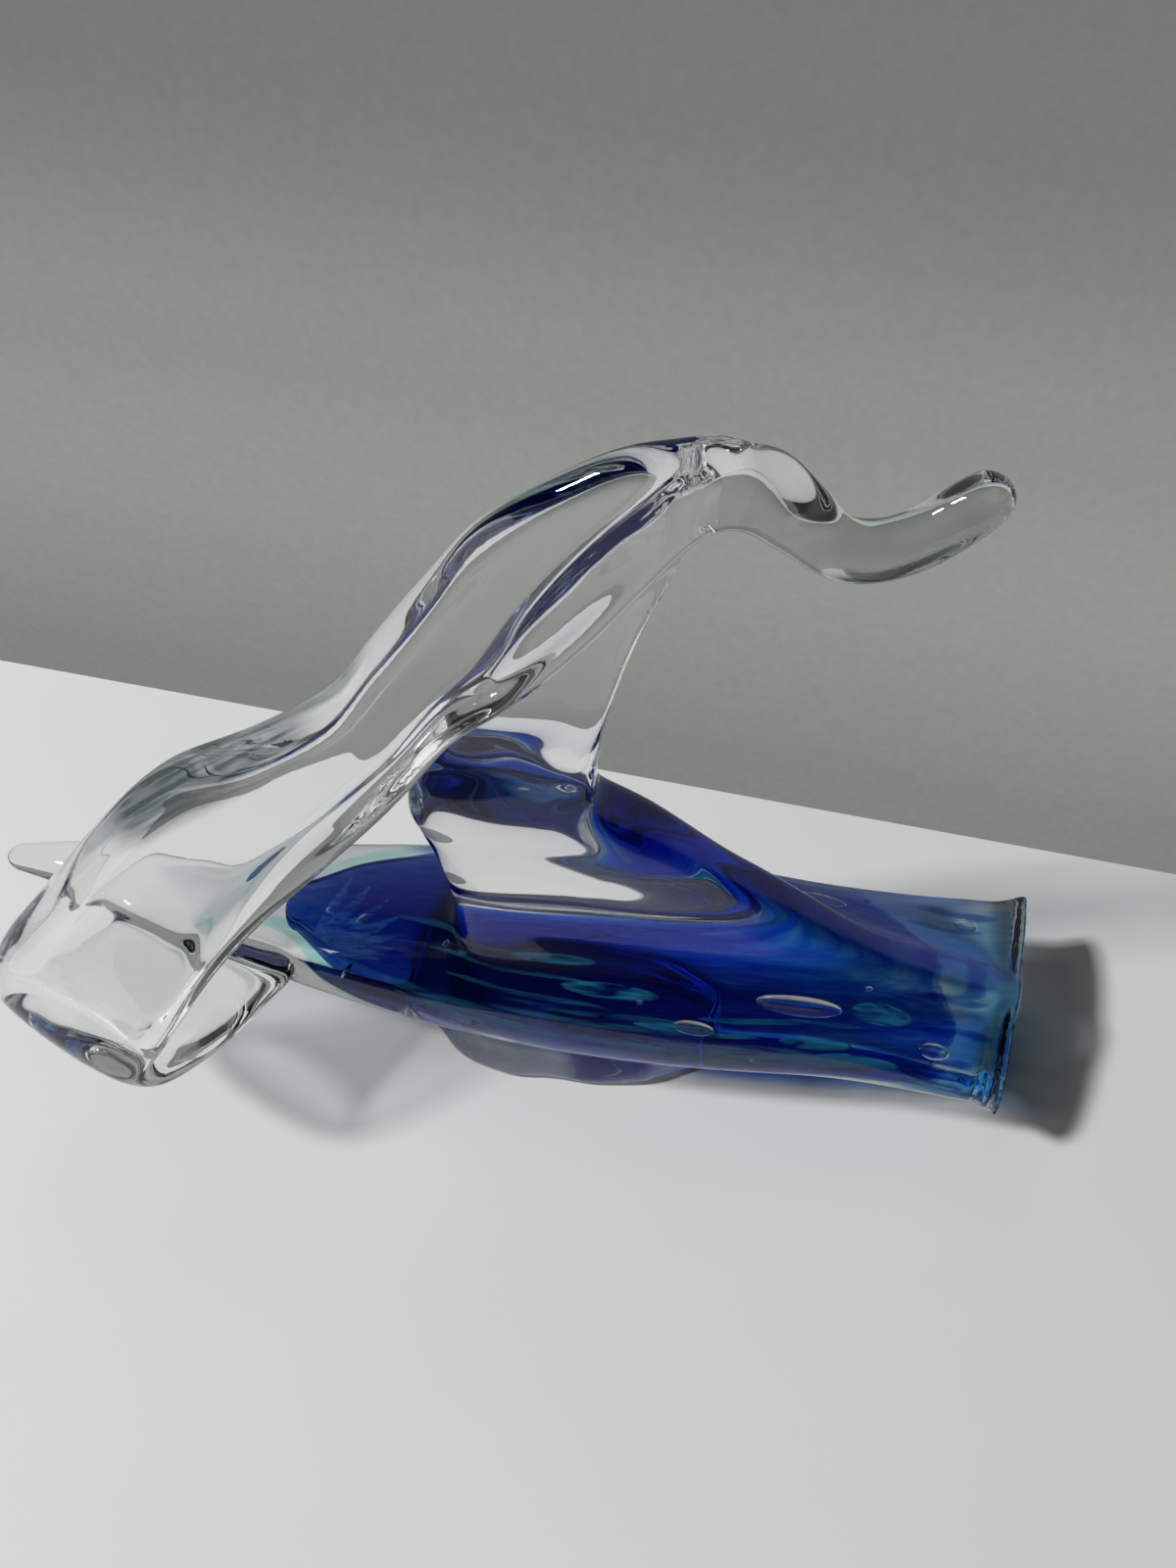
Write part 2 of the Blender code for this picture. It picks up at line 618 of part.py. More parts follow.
def build():
    """Makes every piece of the boat."""
    for old in list(bpy.data.objects):
        bpy.data.objects.remove(old, do_unlink=True)
    boat = new_collection("art_glass_sailboat")
    cutters = new_collection("cutters")

    casing = hull_body("hull_casing", 0.0, boat)
    casing.data.materials.append(glass("clear_casing_glass", CLEAR, 0.02))
    core = core_body(boat)
    core.data.materials.append(glass("cobalt_glass", COBALT, 0.03))
    heart = heart_body(boat)
    heart.data.materials.append(glass("heart_glass", SLATE, 0.03))
    core_space = core_space_body(cutters)
    cut(casing, core_space)
    for name, place in STREAKS.items():
        streak = streak_body(name, 0.0, boat, *place)
        streak.data.materials.append(glass(name + "_glass", AQUA, 0.03))
        cut(streak, core_space)
        cut(casing, streak_body(name + "_space", SEAM_GAP, cutters, *place))

    hull_space = hull_body("hull_space", SEAM_GAP, cutters)
    foot = foot_body("foot_pad", boat)
    foot.data.materials.append(glass("foot_glass", CLEAR, 0.05))
    cut(foot, hull_space)

    jib_form = (jib_rows(), JIB_RINGS, JIB_SQUARENESS, EVEN_FOCUS)
    jib = sail_body("jib", *jib_form, 0.0, boat)
    jib.data.materials.append(glass("jib_glass", CLEAR, 0.02))
    cut(jib, hull_space)
    jib_space = sail_body("jib_space", *jib_form, SEAM_GAP, cutters)

    pennant_form = (pennant_rows(), PENNANT_RINGS, PENNANT_SQUARENESS, EVEN_FOCUS)
    pennant = sail_body("masthead_pennant", *pennant_form, 0.0, boat)
    pennant.data.materials.append(glass("pennant_glass", CLEAR, 0.02))
    cut(pennant, jib_space)
    pennant_space = sail_body("pennant_space", *pennant_form, SEAM_GAP, cutters)

    mainsail_form = (mainsail_rows(), MAINSAIL_RINGS, MAINSAIL_SQUARENESS, LEECH_FOCUS)
    mainsail = sail_body("mainsail", *mainsail_form, 0.0, boat)
    mainsail.data.materials.append(glass("mainsail_glass", CLEAR, 0.02))
    for space in (hull_space, jib_space, pennant_space):
        cut(mainsail, space)


build()
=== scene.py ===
"""Looks of the art glass sailboat.

The clear glass is one fused body: the hull's casing, the foot, both sails and the pennant are
joined as level sets, so that each flows into the next, and the skin is then shared out into the
pieces. The cobalt core, its wisps, the aqua streaks and the air bubbles lie inside it.
"""

import math

import bpy
import numpy as np
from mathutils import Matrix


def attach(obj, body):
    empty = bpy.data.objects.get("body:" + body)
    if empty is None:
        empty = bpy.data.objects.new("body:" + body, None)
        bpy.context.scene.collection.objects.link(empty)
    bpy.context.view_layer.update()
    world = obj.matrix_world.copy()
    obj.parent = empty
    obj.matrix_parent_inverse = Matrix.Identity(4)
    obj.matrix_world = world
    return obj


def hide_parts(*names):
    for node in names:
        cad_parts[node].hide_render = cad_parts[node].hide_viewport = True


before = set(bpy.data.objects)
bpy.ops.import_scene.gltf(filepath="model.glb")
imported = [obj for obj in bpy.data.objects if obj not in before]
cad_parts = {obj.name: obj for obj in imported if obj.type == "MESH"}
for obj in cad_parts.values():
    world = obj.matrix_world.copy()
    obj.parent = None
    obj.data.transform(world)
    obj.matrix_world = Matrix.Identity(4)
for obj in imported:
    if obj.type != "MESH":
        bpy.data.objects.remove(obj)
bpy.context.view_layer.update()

import openvdb as vdb
from mathutils import Matrix, Vector

# Sizes repeated from the part's source, in metres
HULL_LENGTH = 0.250
TRANSOM_X = 0.107
MIDSHIP_BEAM = 0.0546
QUARTER_BEAM = 0.0512
TRANSOM_BEAM = 0.0560
TRANSOM_LIP = 0.0022
BOW_DIAMETER = 0.0092
MIDSHIP_DEPTH = 0.0300
TRANSOM_DEPTH = 0.0175
BOW_RISE = 0.0128
TRANSOM_SKEW = 0.0095
SKEW_START = 0.80
CASING_WALL = 0.0030
HULL_SQUARENESS = 2.3
CORE_SQUARENESS = 2.2
CORE_FLUTES = 0.0016
FOOT_HEIGHT = 0.0150
FOOT_LENGTH = 0.081
FOOT_WIDTH = 0.047
FOOT_EDGE_ROUND = 0.0032
FOOT_BITE = 0.0080
FOOT_SQUARENESS = 2.1
FOOT_LEAN = 0.03
FOOT_LUMPS = ((5, 0.018, 0.7), (8, 0.012, 2.0))
TACK_X = -0.0250
CLEW_SETBACK = 0.0040
WAIST_RISE = 0.0460
WAIST_WIDTH = 0.0410
WAIST_RAKE = 0.0100
SKIRT_TO_PORT = 0.0055
LUFF_PORT_SHARE = 0.7
BLADE_HOLLOW = 0.0068
BLADE_TO_STARBOARD = 0.0050
EDGE_TILT = 0.09
LUFF_THICKNESS = 0.0195
LEECH_FOCUS = 2.6
LEECH_THICKNESS = 0.0185
CLEW_THICKNESS = 0.0085
MAINSAIL_SQUARENESS = 3.6
MASTHEAD_X = 0.0255
MAST_RISE = 0.13235
JIB_ROOT_X = -0.0880
JIB_WIDTH = 0.0410
JIB_THICKNESS = 0.0108
JIB_SWING = 0.0427
JIB_CAMBER = 0.0014
JIB_SQUARENESSES = (
    (0.0, 2.25), (0.30, 2.25), (0.42, 2.8), (0.60, 3.4), (0.78, 3.2), (0.90, 2.6), (1.0, 2.25),
)
PENNANT_REACH = 0.0475
PENNANT_DIP = 0.0190
PENNANT_TO_STARBOARD = 0.0116
PENNANT_DIAMETER = 0.0100
PENNANT_SQUARENESS = 2.1
PENNANT_FLUTES = (3, 0.075, 0.9)
GLASS_IOR = 1.52

BOW_X = TRANSOM_X - HULL_LENGTH
HULL_AXIS_HEIGHT = FOOT_HEIGHT + MIDSHIP_DEPTH / 2
DECK_HEIGHT = FOOT_HEIGHT + MIDSHIP_DEPTH
CLEW_X = TRANSOM_X - CLEW_SETBACK
BOOM_LENGTH = CLEW_X - TACK_X
MASTHEAD_HEIGHT = DECK_HEIGHT + MAST_RISE

# Share of the hull's length, beam, depth, and the axis's rise as a share of the bow's
HULL_STATIONS = (
    (0.020, BOW_DIAMETER * 0.80, BOW_DIAMETER * 0.72, 1.00),
    (0.070, BOW_DIAMETER * 1.30, BOW_DIAMETER * 1.10, 0.96),
    (0.180, MIDSHIP_BEAM * 0.44, MIDSHIP_DEPTH * 0.52, 0.58),
    (0.290, MIDSHIP_BEAM * 0.65, MIDSHIP_DEPTH * 0.74, 0.20),
    (0.390, MIDSHIP_BEAM * 0.81, MIDSHIP_DEPTH * 0.87, 0.06),
    (0.500, MIDSHIP_BEAM * 0.93, MIDSHIP_DEPTH * 0.96, 0.01),
    (0.640, MIDSHIP_BEAM, MIDSHIP_DEPTH, 0.00),
    (0.740, MIDSHIP_BEAM * 0.985, MIDSHIP_DEPTH * 0.93, -0.01),
    (0.850, QUARTER_BEAM, (MIDSHIP_DEPTH + TRANSOM_DEPTH) / 2, -0.04),
    (0.940, (QUARTER_BEAM + TRANSOM_BEAM) / 2, TRANSOM_DEPTH * 1.10, -0.07),
    (0.980, TRANSOM_BEAM, TRANSOM_DEPTH, -0.08),
    (1.000, TRANSOM_BEAM + 2 * TRANSOM_LIP, TRANSOM_DEPTH + TRANSOM_LIP, -0.08),
)
# Share of the hull's length, and shares of the casing's room that the core takes across and up
CORE_STATIONS = (
    (0.300, 0.42, 0.34),
    (0.340, 0.70, 0.62),
    (0.400, 0.86, 0.84),
    (0.500, 0.95, 0.94),
    (0.640, 1.00, 1.00),
    (0.760, 0.98, 0.95),
    (0.840, 0.96, 0.90),
    (0.885, 0.94, 0.80),
    (0.930, 0.91, 0.66),
    (1.000, 0.88, 0.54),
)
CORE_START = CORE_STATIONS[0][0]
HEART_START = 0.560
HEART_NOSE = 0.120
CUP_END = 0.945
CUP_SLANT = 0.055
CUP_TAPER = 0.02
TONGUE_START, TONGUE_LEAN, TONGUE_POWER = 0.70, 0.53, 1.3
# Share of the hull's length, and the cobalt's wall there
CUP_WALLS = (
    (0.560, 0.0048),
    (0.660, 0.0040),
    (0.760, 0.0026),
    (0.840, 0.0014),
    (0.905, 0.0014),
    (0.930, 0.0022),
    (0.945, 0.0024),
)
# Luff's run and rise, leech's run and rise, offset to port, leech's swell and luff's thickness
SKIRT_STATIONS = (
    (0.010, -0.42, 0.975, -0.34, 0.30, 0.00, 1.90),
    (0.000, -0.15, 1.000, -0.14, 0.50, 0.04, 2.00),
    (-0.010, 0.06, 0.925, -0.05, 0.46, 0.16, 1.56),
    (-0.024, 0.22, 0.785, 0.08, 0.24, 0.32, 1.20),
    (-0.036, 0.38, 0.645, 0.26, -0.16, 0.48, 1.17),
    (-0.048, 0.56, 0.503, 0.50, -0.20, 0.66, 1.13),
    (-0.068, 0.77, 0.368, 0.78, -0.22, 0.84, 1.05),
)
# Share of the height, hollow, width, offset to starboard, and the two edges' thicknesses
BLADE_STATIONS = (
    (0.000, 0.00, 1.00, 0.17, 0.95, 1.00),
    (0.100, 0.44, 0.94, 0.50, 0.70, 0.94),
    (0.220, 0.74, 0.86, 0.80, 0.46, 0.82),
    (0.370, 0.96, 0.78, 1.00, 0.46, 0.74),
    (0.530, 1.00, 0.66, 1.00, 0.45, 0.62),
    (0.690, 0.88, 0.53, 0.90, 0.43, 0.52),
    (0.830, 0.66, 0.36, 0.80, 0.38, 0.42),
    (0.920, 0.44, 0.20, 0.70, 0.28, 0.32),
)
# Run, swing to port, rise, width, direction across, thickness and camber
JIB_STATIONS = (
    (0.010, 0.00, -0.062, 1.04, (1.00, 0.00, -0.08), 0.75, 0.00),
    (-0.026, 0.20, -0.044, 0.86, (1.00, -0.12, -0.02), 0.90, 0.00),
    (0.008, 0.37, -0.046, 1.12, (1.00, -0.20, -0.03), 0.98, 0.00),
    (-0.026, 0.54, -0.050, 1.12, (1.00, -0.30, -0.04), 0.95, 0.00),
    (-0.086, 0.84, -0.048, 1.06, (1.00, -0.42, -0.02), 1.10, 0.36),
    (-0.138, 1.03, -0.012, 1.10, (1.00, -0.45, -0.02), 1.15, 0.57),
    (-0.150, 1.09, 0.052, 1.12, (1.00, -0.46, -0.06), 1.15, 0.71),
    (-0.104, 1.02, 0.124, 1.08, (1.00, -0.42, -0.20), 1.10, 0.71),
    (-0.012, 0.84, 0.222, 0.98, (1.00, -0.24, -0.38), 1.00, 0.86),
    (0.080, 0.68, 0.309, 0.95, (1.00, -0.20, -0.58), 1.00, 1.00),
    (0.230, 0.50, 0.429, 0.91, (1.00, -0.16, -0.66), 1.00, 0.86),
    (0.368, 0.42, 0.517, 0.74, (1.00, 0.00, -0.62), 1.05, 0.57),
    (0.470, 0.34, 0.586, 0.58, (1.00, -0.05, -1.05), 1.10, 0.43),
    (0.546, 0.27, 0.670, 0.60, (0.80, -0.06, -1.10), 1.05, 0.57),
    (0.638, 0.18, 0.744, 0.73, (0.60, -0.06, -1.05), 1.00, 0.71),
    (0.740, 0.12, 0.839, 0.74, (0.75, -0.04, -1.00), 0.95, 0.71),
    (0.836, 0.06, 0.915, 0.63, (0.75, -0.02, -1.05), 0.90, 0.43),
    (0.926, 0.02, 0.974, 0.47, (0.60, -0.05, -0.95), 0.90, 0.21),
    (1.000, 0.00, 0.999, 0.34, (0.42, -0.10, -0.95), 0.85, 0.00),
)
# Reach, dip, offset to starboard, width, thickness and turn
PENNANT_STATIONS = (
    (-0.060, 0.00, -0.004, 0.60, 0.50, 20.0),
    (0.085, 0.13, 0.129, 1.30, 0.98, 10.0),
    (0.240, 0.49, 0.284, 1.38, 1.04, -15.0),
    (0.395, 0.84, 0.474, 1.24, 1.04, -60.0),
    (0.525, 0.975, 0.647, 1.08, 1.02, -90.0),
    (0.650, 0.95, 0.793, 1.00, 1.00, -90.0),
    (0.775, 0.77, 0.905, 0.98, 0.98, -90.0),
    (0.860, 0.59, 0.966, 0.97, 0.97, -90.0),
    (0.905, 0.49, 1.000, 0.92, 0.92, -90.0),
)

# Level sets
VOXEL = 0.0006
REACH = 0.0150
CAP_RINGS = 7

# A sail's root ends inside the hull
ROOT_DOME = 0.0060

# Fillets where the bodies of clear glass meet, in the order in which they are joined
FILLETS = (("hull", 0.001), ("mainsail", 0.0110), ("foot", 0.0050), ("jib", 0.0070), ("pennant", 0.0080))
GROUND_GAP = 0.00005
# Soft waves of the hot glass: wavelength, depth and seed
FOOT_RIPPLE = (0.0065, 0.0010, 5)
SKIN_RIPPLES = ((0.026, 0.00038, 3), (0.012, 0.00012, 11))
SOFTEN_PASSES = 5
RELAX_PASSES, NORMAL_PASSES, OWNER_PASSES = 6, 3, 12
HULL_HANDICAP = 0.0006
SEAM_DEPTH = 0.0008

# The transom's crimps, lips (angle, reach and spread) and sheared rim
RIM_START, RIM_RUN = 0.975, 0.025
CRIMP_COUNT, CRIMP_WIDTH, CRIMP_DEPTH = 24, 0.004, 0.012
HULL_LIPS = ((212, 0.0022, 7.0), (24, 0.0014, 6.0), (160, 0.0008, 6.0))
RIM_SHARE, RIM_INSET, RIM_BEAD = 0.997, 0.0007, 0.00042
RIM_TEETH, RIM_RINGS = 72, 10

# Rolled edges of the jib: share of its length, and how much thicker its fore and aft edges are
JIB_BEADS = (
    (0.0, 0.0, 0.0), (0.24, 0.05, 0.05), (0.36, 0.50, 0.20),
    (0.55, 0.60, 0.45), (0.80, 0.45, 0.50), (1.0, 0.0, 0.0),
)
NO_BEADS = ((0.0, 0.0, 0.0), (1.0, 0.0, 0.0))
BEAD_PLACES, BEAD_WIDTH = (-0.76, 0.74), 0.15

# Colour laid on the core, and bubbles
CORE_LEAST = 0.0004
THREAD_LEAST = 0.00008
LENS_RINGS, LENS_LIFT, LENS_THICKNESS = 10, 0.0004, 0.0003
BUBBLE_RINGS = 18
HUB_SHARE, HUB_ANGLE = 0.322, 140

# Looks of the glass: stretches along the hull where its stern lets less light through to the floor's
# shadow, darkening the shadow beyond the transom, and where its bow takes its own tint
WHITE = (1.0, 1.0, 1.0)
STERN_SPAN = (0.080, 0.100)
BOW_SPAN = (-0.050, -0.005)
# Painted shade bands in the clear glass: how far their streaks are drawn out, and how they fade at their
# ends
BAND_DRAW, BAND_FADE = 0.05, 0.012

# Wisps in the stern: start, angles, end and radius
WISPS = (
    (0.900, (30, 34, 32), 0.975, 0.0005), (0.890, (54, 56, 52), 0.960, 0.0004),
    (0.905, (98, 101, 99), 0.970, 0.0004), (0.910, (126, 123, 125), 0.982, 0.0005),
    (0.915, (150, 153, 152), 0.965, 0.0004), (0.910, (171, 174, 177), 0.978, 0.0005),
    (0.895, (280, 276, 280), 0.975, 0.0004),
)

# Petals of the bow's fan: share, angle and radius
PETALS = (
    (0.345, 62, 0.0008), (0.366, 76, 0.0010), (0.388, 88, 0.0009), (0.402, 101, 0.0011),
    (0.410, 114, 0.0008), (0.404, 128, 0.0010), (0.392, 142, 0.0008),
)

# Teal threads: start, end, two angles and radius
THREADS = (
    (0.42, 0.66, 178, 170, 0.00040), (0.50, 0.74, 158, 153, 0.00026), (0.46, 0.62, 138, 142, 0.00022),
    (0.60, 0.84, 184, 178, 0.00036), (0.38, 0.52, 160, 166, 0.00034), (0.70, 0.86, 140, 132, 0.00026),
    (0.66, 0.80, 167, 161, 0.00026), (0.72, 0.86, 60, 64, 0.00026), (0.40, 0.55, 100, 108, 0.00024),
    (0.44, 0.60, 120, 124, 0.00022), (0.52, 0.70, 148, 146, 0.00024),
)

# Air bubbles: X, Y, lift off the core, half length, half width, half height and turn
BUBBLES = (
    (0.0595, 0.0155, 0.0016, 0.0058, 0.0020, 0.0010, -8),
    (0.0950, 0.0155, 0.0016, 0.0030, 0.0018, 0.0010, -5),
    (0.0545, -0.0135, 0.0016, 0.0100, 0.0030, 0.0009, -2),
    (0.0310, -0.0215, 0.0016, 0.0048, 0.0021, 0.0009, -4),
    (0.0865, -0.0185, 0.0015, 0.0035, 0.0022, 0.0010, -6),
    (0.0452, -0.0240, 0.0014, 0.0007, 0.0006, 0.0005, 0),
    (-0.0288, -0.0095, 0.0014, 0.0012, 0.0007, 0.0006, 40),
    (-0.0511, -0.0050, 0.0012, 0.0016, 0.0008, 0.0007, 50),
    (-0.0530, -0.0142, 0.0010, 0.0020, 0.0006, 0.0006, 60),
    (-0.0600, -0.0030, 0.0010, 0.0008, 0.0006, 0.0005, 0),
    (0.0180, -0.0180, 0.0014, 0.0008, 0.0006, 0.0005, 0),
    (0.0700, -0.0060, 0.0016, 0.0011, 0.0007, 0.0006, 10),
)

# Teal veils: share, angle, half run and half turn
VEILS = (
    (0.615, 128, 0.046, 6.0), (0.700, 150, 0.060, 5.0), (0.760, 168, 0.055, 7.0),
    (0.810, 152, 0.035, 7.0), (0.480, 172, 0.070, 4.0), (0.800, 62, 0.040, 7.0),
    (0.560, 108, 0.040, 4.0), (0.690, 176, 0.075, 7.0), (0.800, 178, 0.080, 9.0),
    (0.850, 170, 0.045, 10.0), (0.870, 120, 0.030, 9.0),
)

BOWWARD = np.array((-1.0, 0.0, 0.0))


def unit(vectors):
    """Vectors at length one."""
    vectors = np.asarray(vectors, float)
    return vectors / np.linalg.norm(vectors, axis=-1, keepdims=True)


def fair(table, keys):
    """Reads a table whose first column is its key, at the keys, along a smooth curve."""
    rows = np.array(table, float)
    at, values = rows[:, 0], rows[:, 1:]
    slopes = np.gradient(values, at, axis=0)
    keys = np.asarray(keys, float)
    i = np.clip(np.searchsorted(at, keys) - 1, 0, len(at) - 2)
    span = (at[i + 1] - at[i])[:, None]
    s = (keys - at[i])[:, None] / span
    return (
        (1 + 2 * s) * (1 - s) ** 2 * values[i]
        + s * (1 - s) ** 2 * span * slopes[i]
        + s * s * (3 - 2 * s) * values[i + 1]
        - s * s * (1 - s) * span * slopes[i + 1]
    )


def rounded(angles, power):
    """Points of a rounded outline one unit in radius: power 2 is a circle, more is squarer."""
    c, s = np.cos(angles), np.sin(angles)
    return (
        np.sign(c) * np.abs(c) ** (2 / power),
        np.sign(s) * np.abs(s) ** (2 / power),
    )


def dome(ring, centre, outward, height):
    """Rings that close a tube's end in a dome, and the dome's pole."""
    rings = []
    for step in range(1, CAP_RINGS + 1):
        turn = 0.5 * math.pi * step / (CAP_RINGS + 1)
        rings.append(centre + outward * height * math.sin(turn) + (ring - centre) * math.cos(turn))
    return rings, centre + outward * height


def turns(sides):
    """Angles of the points round a ring."""
    return 2 * math.pi * np.arange(sides) / sides


def ring_quads(count, sides, closed=False):
    """Quads between rings of points, and from the last ring to the first where it is closed."""
    i = np.arange(sides)
    j = (i + 1) % sides
    joins = range(count if closed else count - 1)
    return np.concatenate([
        np.stack([near + i, near + j, far + j, far + i], axis=1)
        for near, far in ((k * sides, (k + 1) % count * sides) for k in joins)
    ])


def shell(rings, start_pole, end_pole):
    """Points, quads and triangles of a closed body through rings, with a pole at each end."""
    rings = np.array(rings)
    count, sides = rings.shape[:2]
    points = np.vstack([rings.reshape(-1, 3), [start_pole], [end_pole]])
    i = np.arange(sides)
    j = (i + 1) % sides
    first, last = count * sides, count * sides + 1
    end = (count - 1) * sides
    triangles = np.concatenate([
        np.stack([j, i, np.full(sides, first)], axis=1),
        np.stack([end + i, end + j, np.full(sides, last)], axis=1),
    ])
    return points, ring_quads(count, sides), triangles


def run_lengths(points):
    """Length along a line of points, at each of them."""
    return np.concatenate([[0.0], np.cumsum(np.linalg.norm(np.diff(points, axis=0), axis=1))])


def facing_out(points, quads, triangles):
    """The same faces, turned so that the body's volume is positive."""
    faces = np.concatenate([quads[:, [0, 1, 2]], quads[:, [0, 2, 3]], triangles])
    a, b, c = points[faces[:, 0]], points[faces[:, 1]], points[faces[:, 2]]
    if np.einsum("ij,ij->i", a, np.cross(b, c)).sum() < 0:
        quads, triangles = quads[:, ::-1], triangles[:, ::-1]
    return points, quads, triangles


def domed(rings, start, end):
    """A closed body through rings, with a dome at each end of a centre, a direction and a height."""
    fore, fore_pole = dome(rings[0], *start)
    aft, aft_pole = dome(rings[-1], *end)
    return facing_out(*shell(fore[::-1] + rings + aft, fore_pole, aft_pole))


def bow_domed(rings, height):
    """A closed body through rings, with a dome in the bow and a flat end aft."""
    tip, pole = dome(rings[0], rings[0].mean(axis=0), BOWWARD, height)
    return facing_out(*shell(tip[::-1] + rings, pole, rings[-1].mean(axis=0)))


def hull_section(shares):
    """Half beams, half depths and axis heights of the hull, at shares of its length."""
    read = fair(HULL_STATIONS, shares)
    return read[:, 0] / 2, read[:, 1] / 2, HULL_AXIS_HEIGHT + read[:, 2] * BOW_RISE


def section_at(share):
    """Half beam, half depth and axis height of the hull, at one share of its length."""
    return tuple(float(v[0]) for v in hull_section([share]))


def core_at(share):
    """Half beam, half depth and axis height of the core, at one share of the hull's length."""
    half_beam, half_depth, height = section_at(share)
    across, up = fair(CORE_STATIONS, [share])[0]
    return across * (half_beam - CASING_WALL), up * (half_depth - CASING_WALL), height


def hull_x(share, y):
    """Station of a point of the hull: the transom is cut askew, and the skew fades forward."""
    fade = np.maximum(0.0, (share - SKEW_START) / (1 - SKEW_START))
    return BOW_X + share * HULL_LENGTH + TRANSOM_SKEW * fade * y / TRANSOM_BEAM


def hull_shell():
    """The hull's outer form, with the crimps and the lips round the transom's rim."""
    shares = np.concatenate([np.linspace(0.02, 0.94, 150), np.linspace(0.945, 1.0, 20)])
    angles = turns(192)
    across, up = rounded(angles, HULL_SQUARENESS)
    crimps = np.cos(CRIMP_COUNT * angles)
    rings = []
    for share, half_beam, half_depth, height in zip(shares, *hull_section(shares)):
        rim = max(0.0, (share - RIM_START) / RIM_RUN)
        lips = np.zeros(len(angles))
        for turn, reach, spread in HULL_LIPS:
            off = (np.degrees(angles) - turn + 180) % 360 - 180
            lips += reach * rim ** 2 * np.exp(-(off / spread) ** 2)
        y = across * half_beam * (1 + CRIMP_WIDTH * rim * crimps) + lips * np.cos(angles)
        z = height + up * half_depth * (1.0 + CRIMP_DEPTH * rim * crimps) + lips * np.sin(angles)
        rings.append(np.stack([hull_x(share, y), y, z], axis=1))
    return bow_domed(rings, HULL_STATIONS[0][0] * HULL_LENGTH)


def slanted(share, angles):
    """Shares of the hull's length round a ring of the core: the cobalt ends in a tongue to port."""
    rise = min(1.0, max(0.0, (share - TONGUE_START) / (CUP_END - TONGUE_START)))
    fall = min(1.0, max(0.0, (1.0 - share) / (1.0 - CUP_END)))
    reach = rise * rise * (3 - 2 * rise) * fall
    return share - CUP_SLANT * reach * np.abs(np.cos(angles) + TONGUE_LEAN) ** TONGUE_POWER


def core_ring(share, wall, size=1.0):
    """One ring of the core, or of its hollow under a wall, with the flutes of the cobalt."""
    angles = turns(128)
    across, up = rounded(angles, CORE_SQUARENESS)
    half_beam, half_depth, height = core_at(share)
    wander = 1.7 * math.sin(7 * share) + 0.8 * math.sin(19 * share)
    comb = 0.5 + 0.26 * np.cos(7 * angles + wander) + 0.24 * np.cos(17 * angles - 1.6 * wander)
    depth = wall * (0.55 + 0.9 * comb) + CORE_FLUTES * (1 - comb)
    y = across * np.maximum(half_beam - depth, CORE_LEAST) * size
    z = height + up * np.maximum(half_depth - depth, CORE_LEAST) * size
    return np.stack([hull_x(slanted(share, angles), y), y, z], axis=1)


def heart_rings(end, extra):
    """Rings of the core's hollow, from its round nose to a share of the hull's length."""
    shares = np.concatenate([
        HEART_START + HEART_NOSE * (1 - np.cos(np.linspace(0.06, 0.5 * math.pi, 24))),
        np.linspace(HEART_START + HEART_NOSE, end, 60)[1:],
    ])
    rings = []
    for share in shares:
        run = min(1.0, (share - HEART_START) / HEART_NOSE)
        wall = extra
        if share < CUP_END:
            wall += float(fair(CUP_WALLS, [share])[0][0])
        else:
            wall += CUP_WALLS[-1][1] * max(0.0, 1 - (share - CUP_END) / CUP_TAPER)
        rings.append(core_ring(share, wall, math.sqrt(1 - (1 - run) ** 2)))
    return rings


def cup_shell():
    """The cobalt: solid in the bow, and a cup round the heart as far as its slanted aft edge."""
    outer = [core_ring(share, 0.0) for share in np.linspace(CORE_START, CUP_END, 120)]
    inner = heart_rings(CUP_END, 0.0)[::-1]
    return bow_domed(outer + inner, np.abs(outer[0][:, 1]).max() * 0.7)


def heart_shell():
    """The paler heart of the hull, which runs on to the transom."""
    rings = heart_rings(0.996, 0.00015)
    return facing_out(*shell(rings, rings[0].mean(axis=0), rings[-1].mean(axis=0)))


def patch_shell(share, angle, half_run, half_turn):
    """A thin lens of colour laid on the core, round a share of its length and an angle."""
    levels = [(k / LENS_RINGS, 1.0) for k in range(1, LENS_RINGS)]
    levels += [((LENS_RINGS - k) / LENS_RINGS, 0.0) for k in range(LENS_RINGS)]
    rings = []
    for reach, side in levels:
        swell = LENS_THICKNESS * math.sqrt(1 - reach * reach) * side
        rings.append(np.array([
            on_core(
                share + half_run * reach * math.cos(a),
                angle + half_turn * reach * math.sin(a),
                LENS_LIFT + swell,
            )
            for a in turns(48)
        ]))
    top = on_core(share, angle, LENS_LIFT + LENS_THICKNESS)
    return facing_out(*shell(rings, top, on_core(share, angle, LENS_LIFT)))


def on_core(share, angle, lift):
    """A point lifted off the core's skin, at a share of the hull's length and an angle round it."""
    half_beam, half_depth, height = core_at(share)
    across, up = rounded(np.array([math.radians(angle)]), CORE_SQUARENESS)
    y = float(across[0]) * (half_beam + lift)
    z = height + float(up[0]) * (half_depth + lift)
    return np.array((float(hull_x(share, y)), y, z))


def core_path(shares, angles, lift):
    """Points lifted off the core's skin."""
    return [on_core(share, angle, lift) for share, angle in zip(shares, angles)]


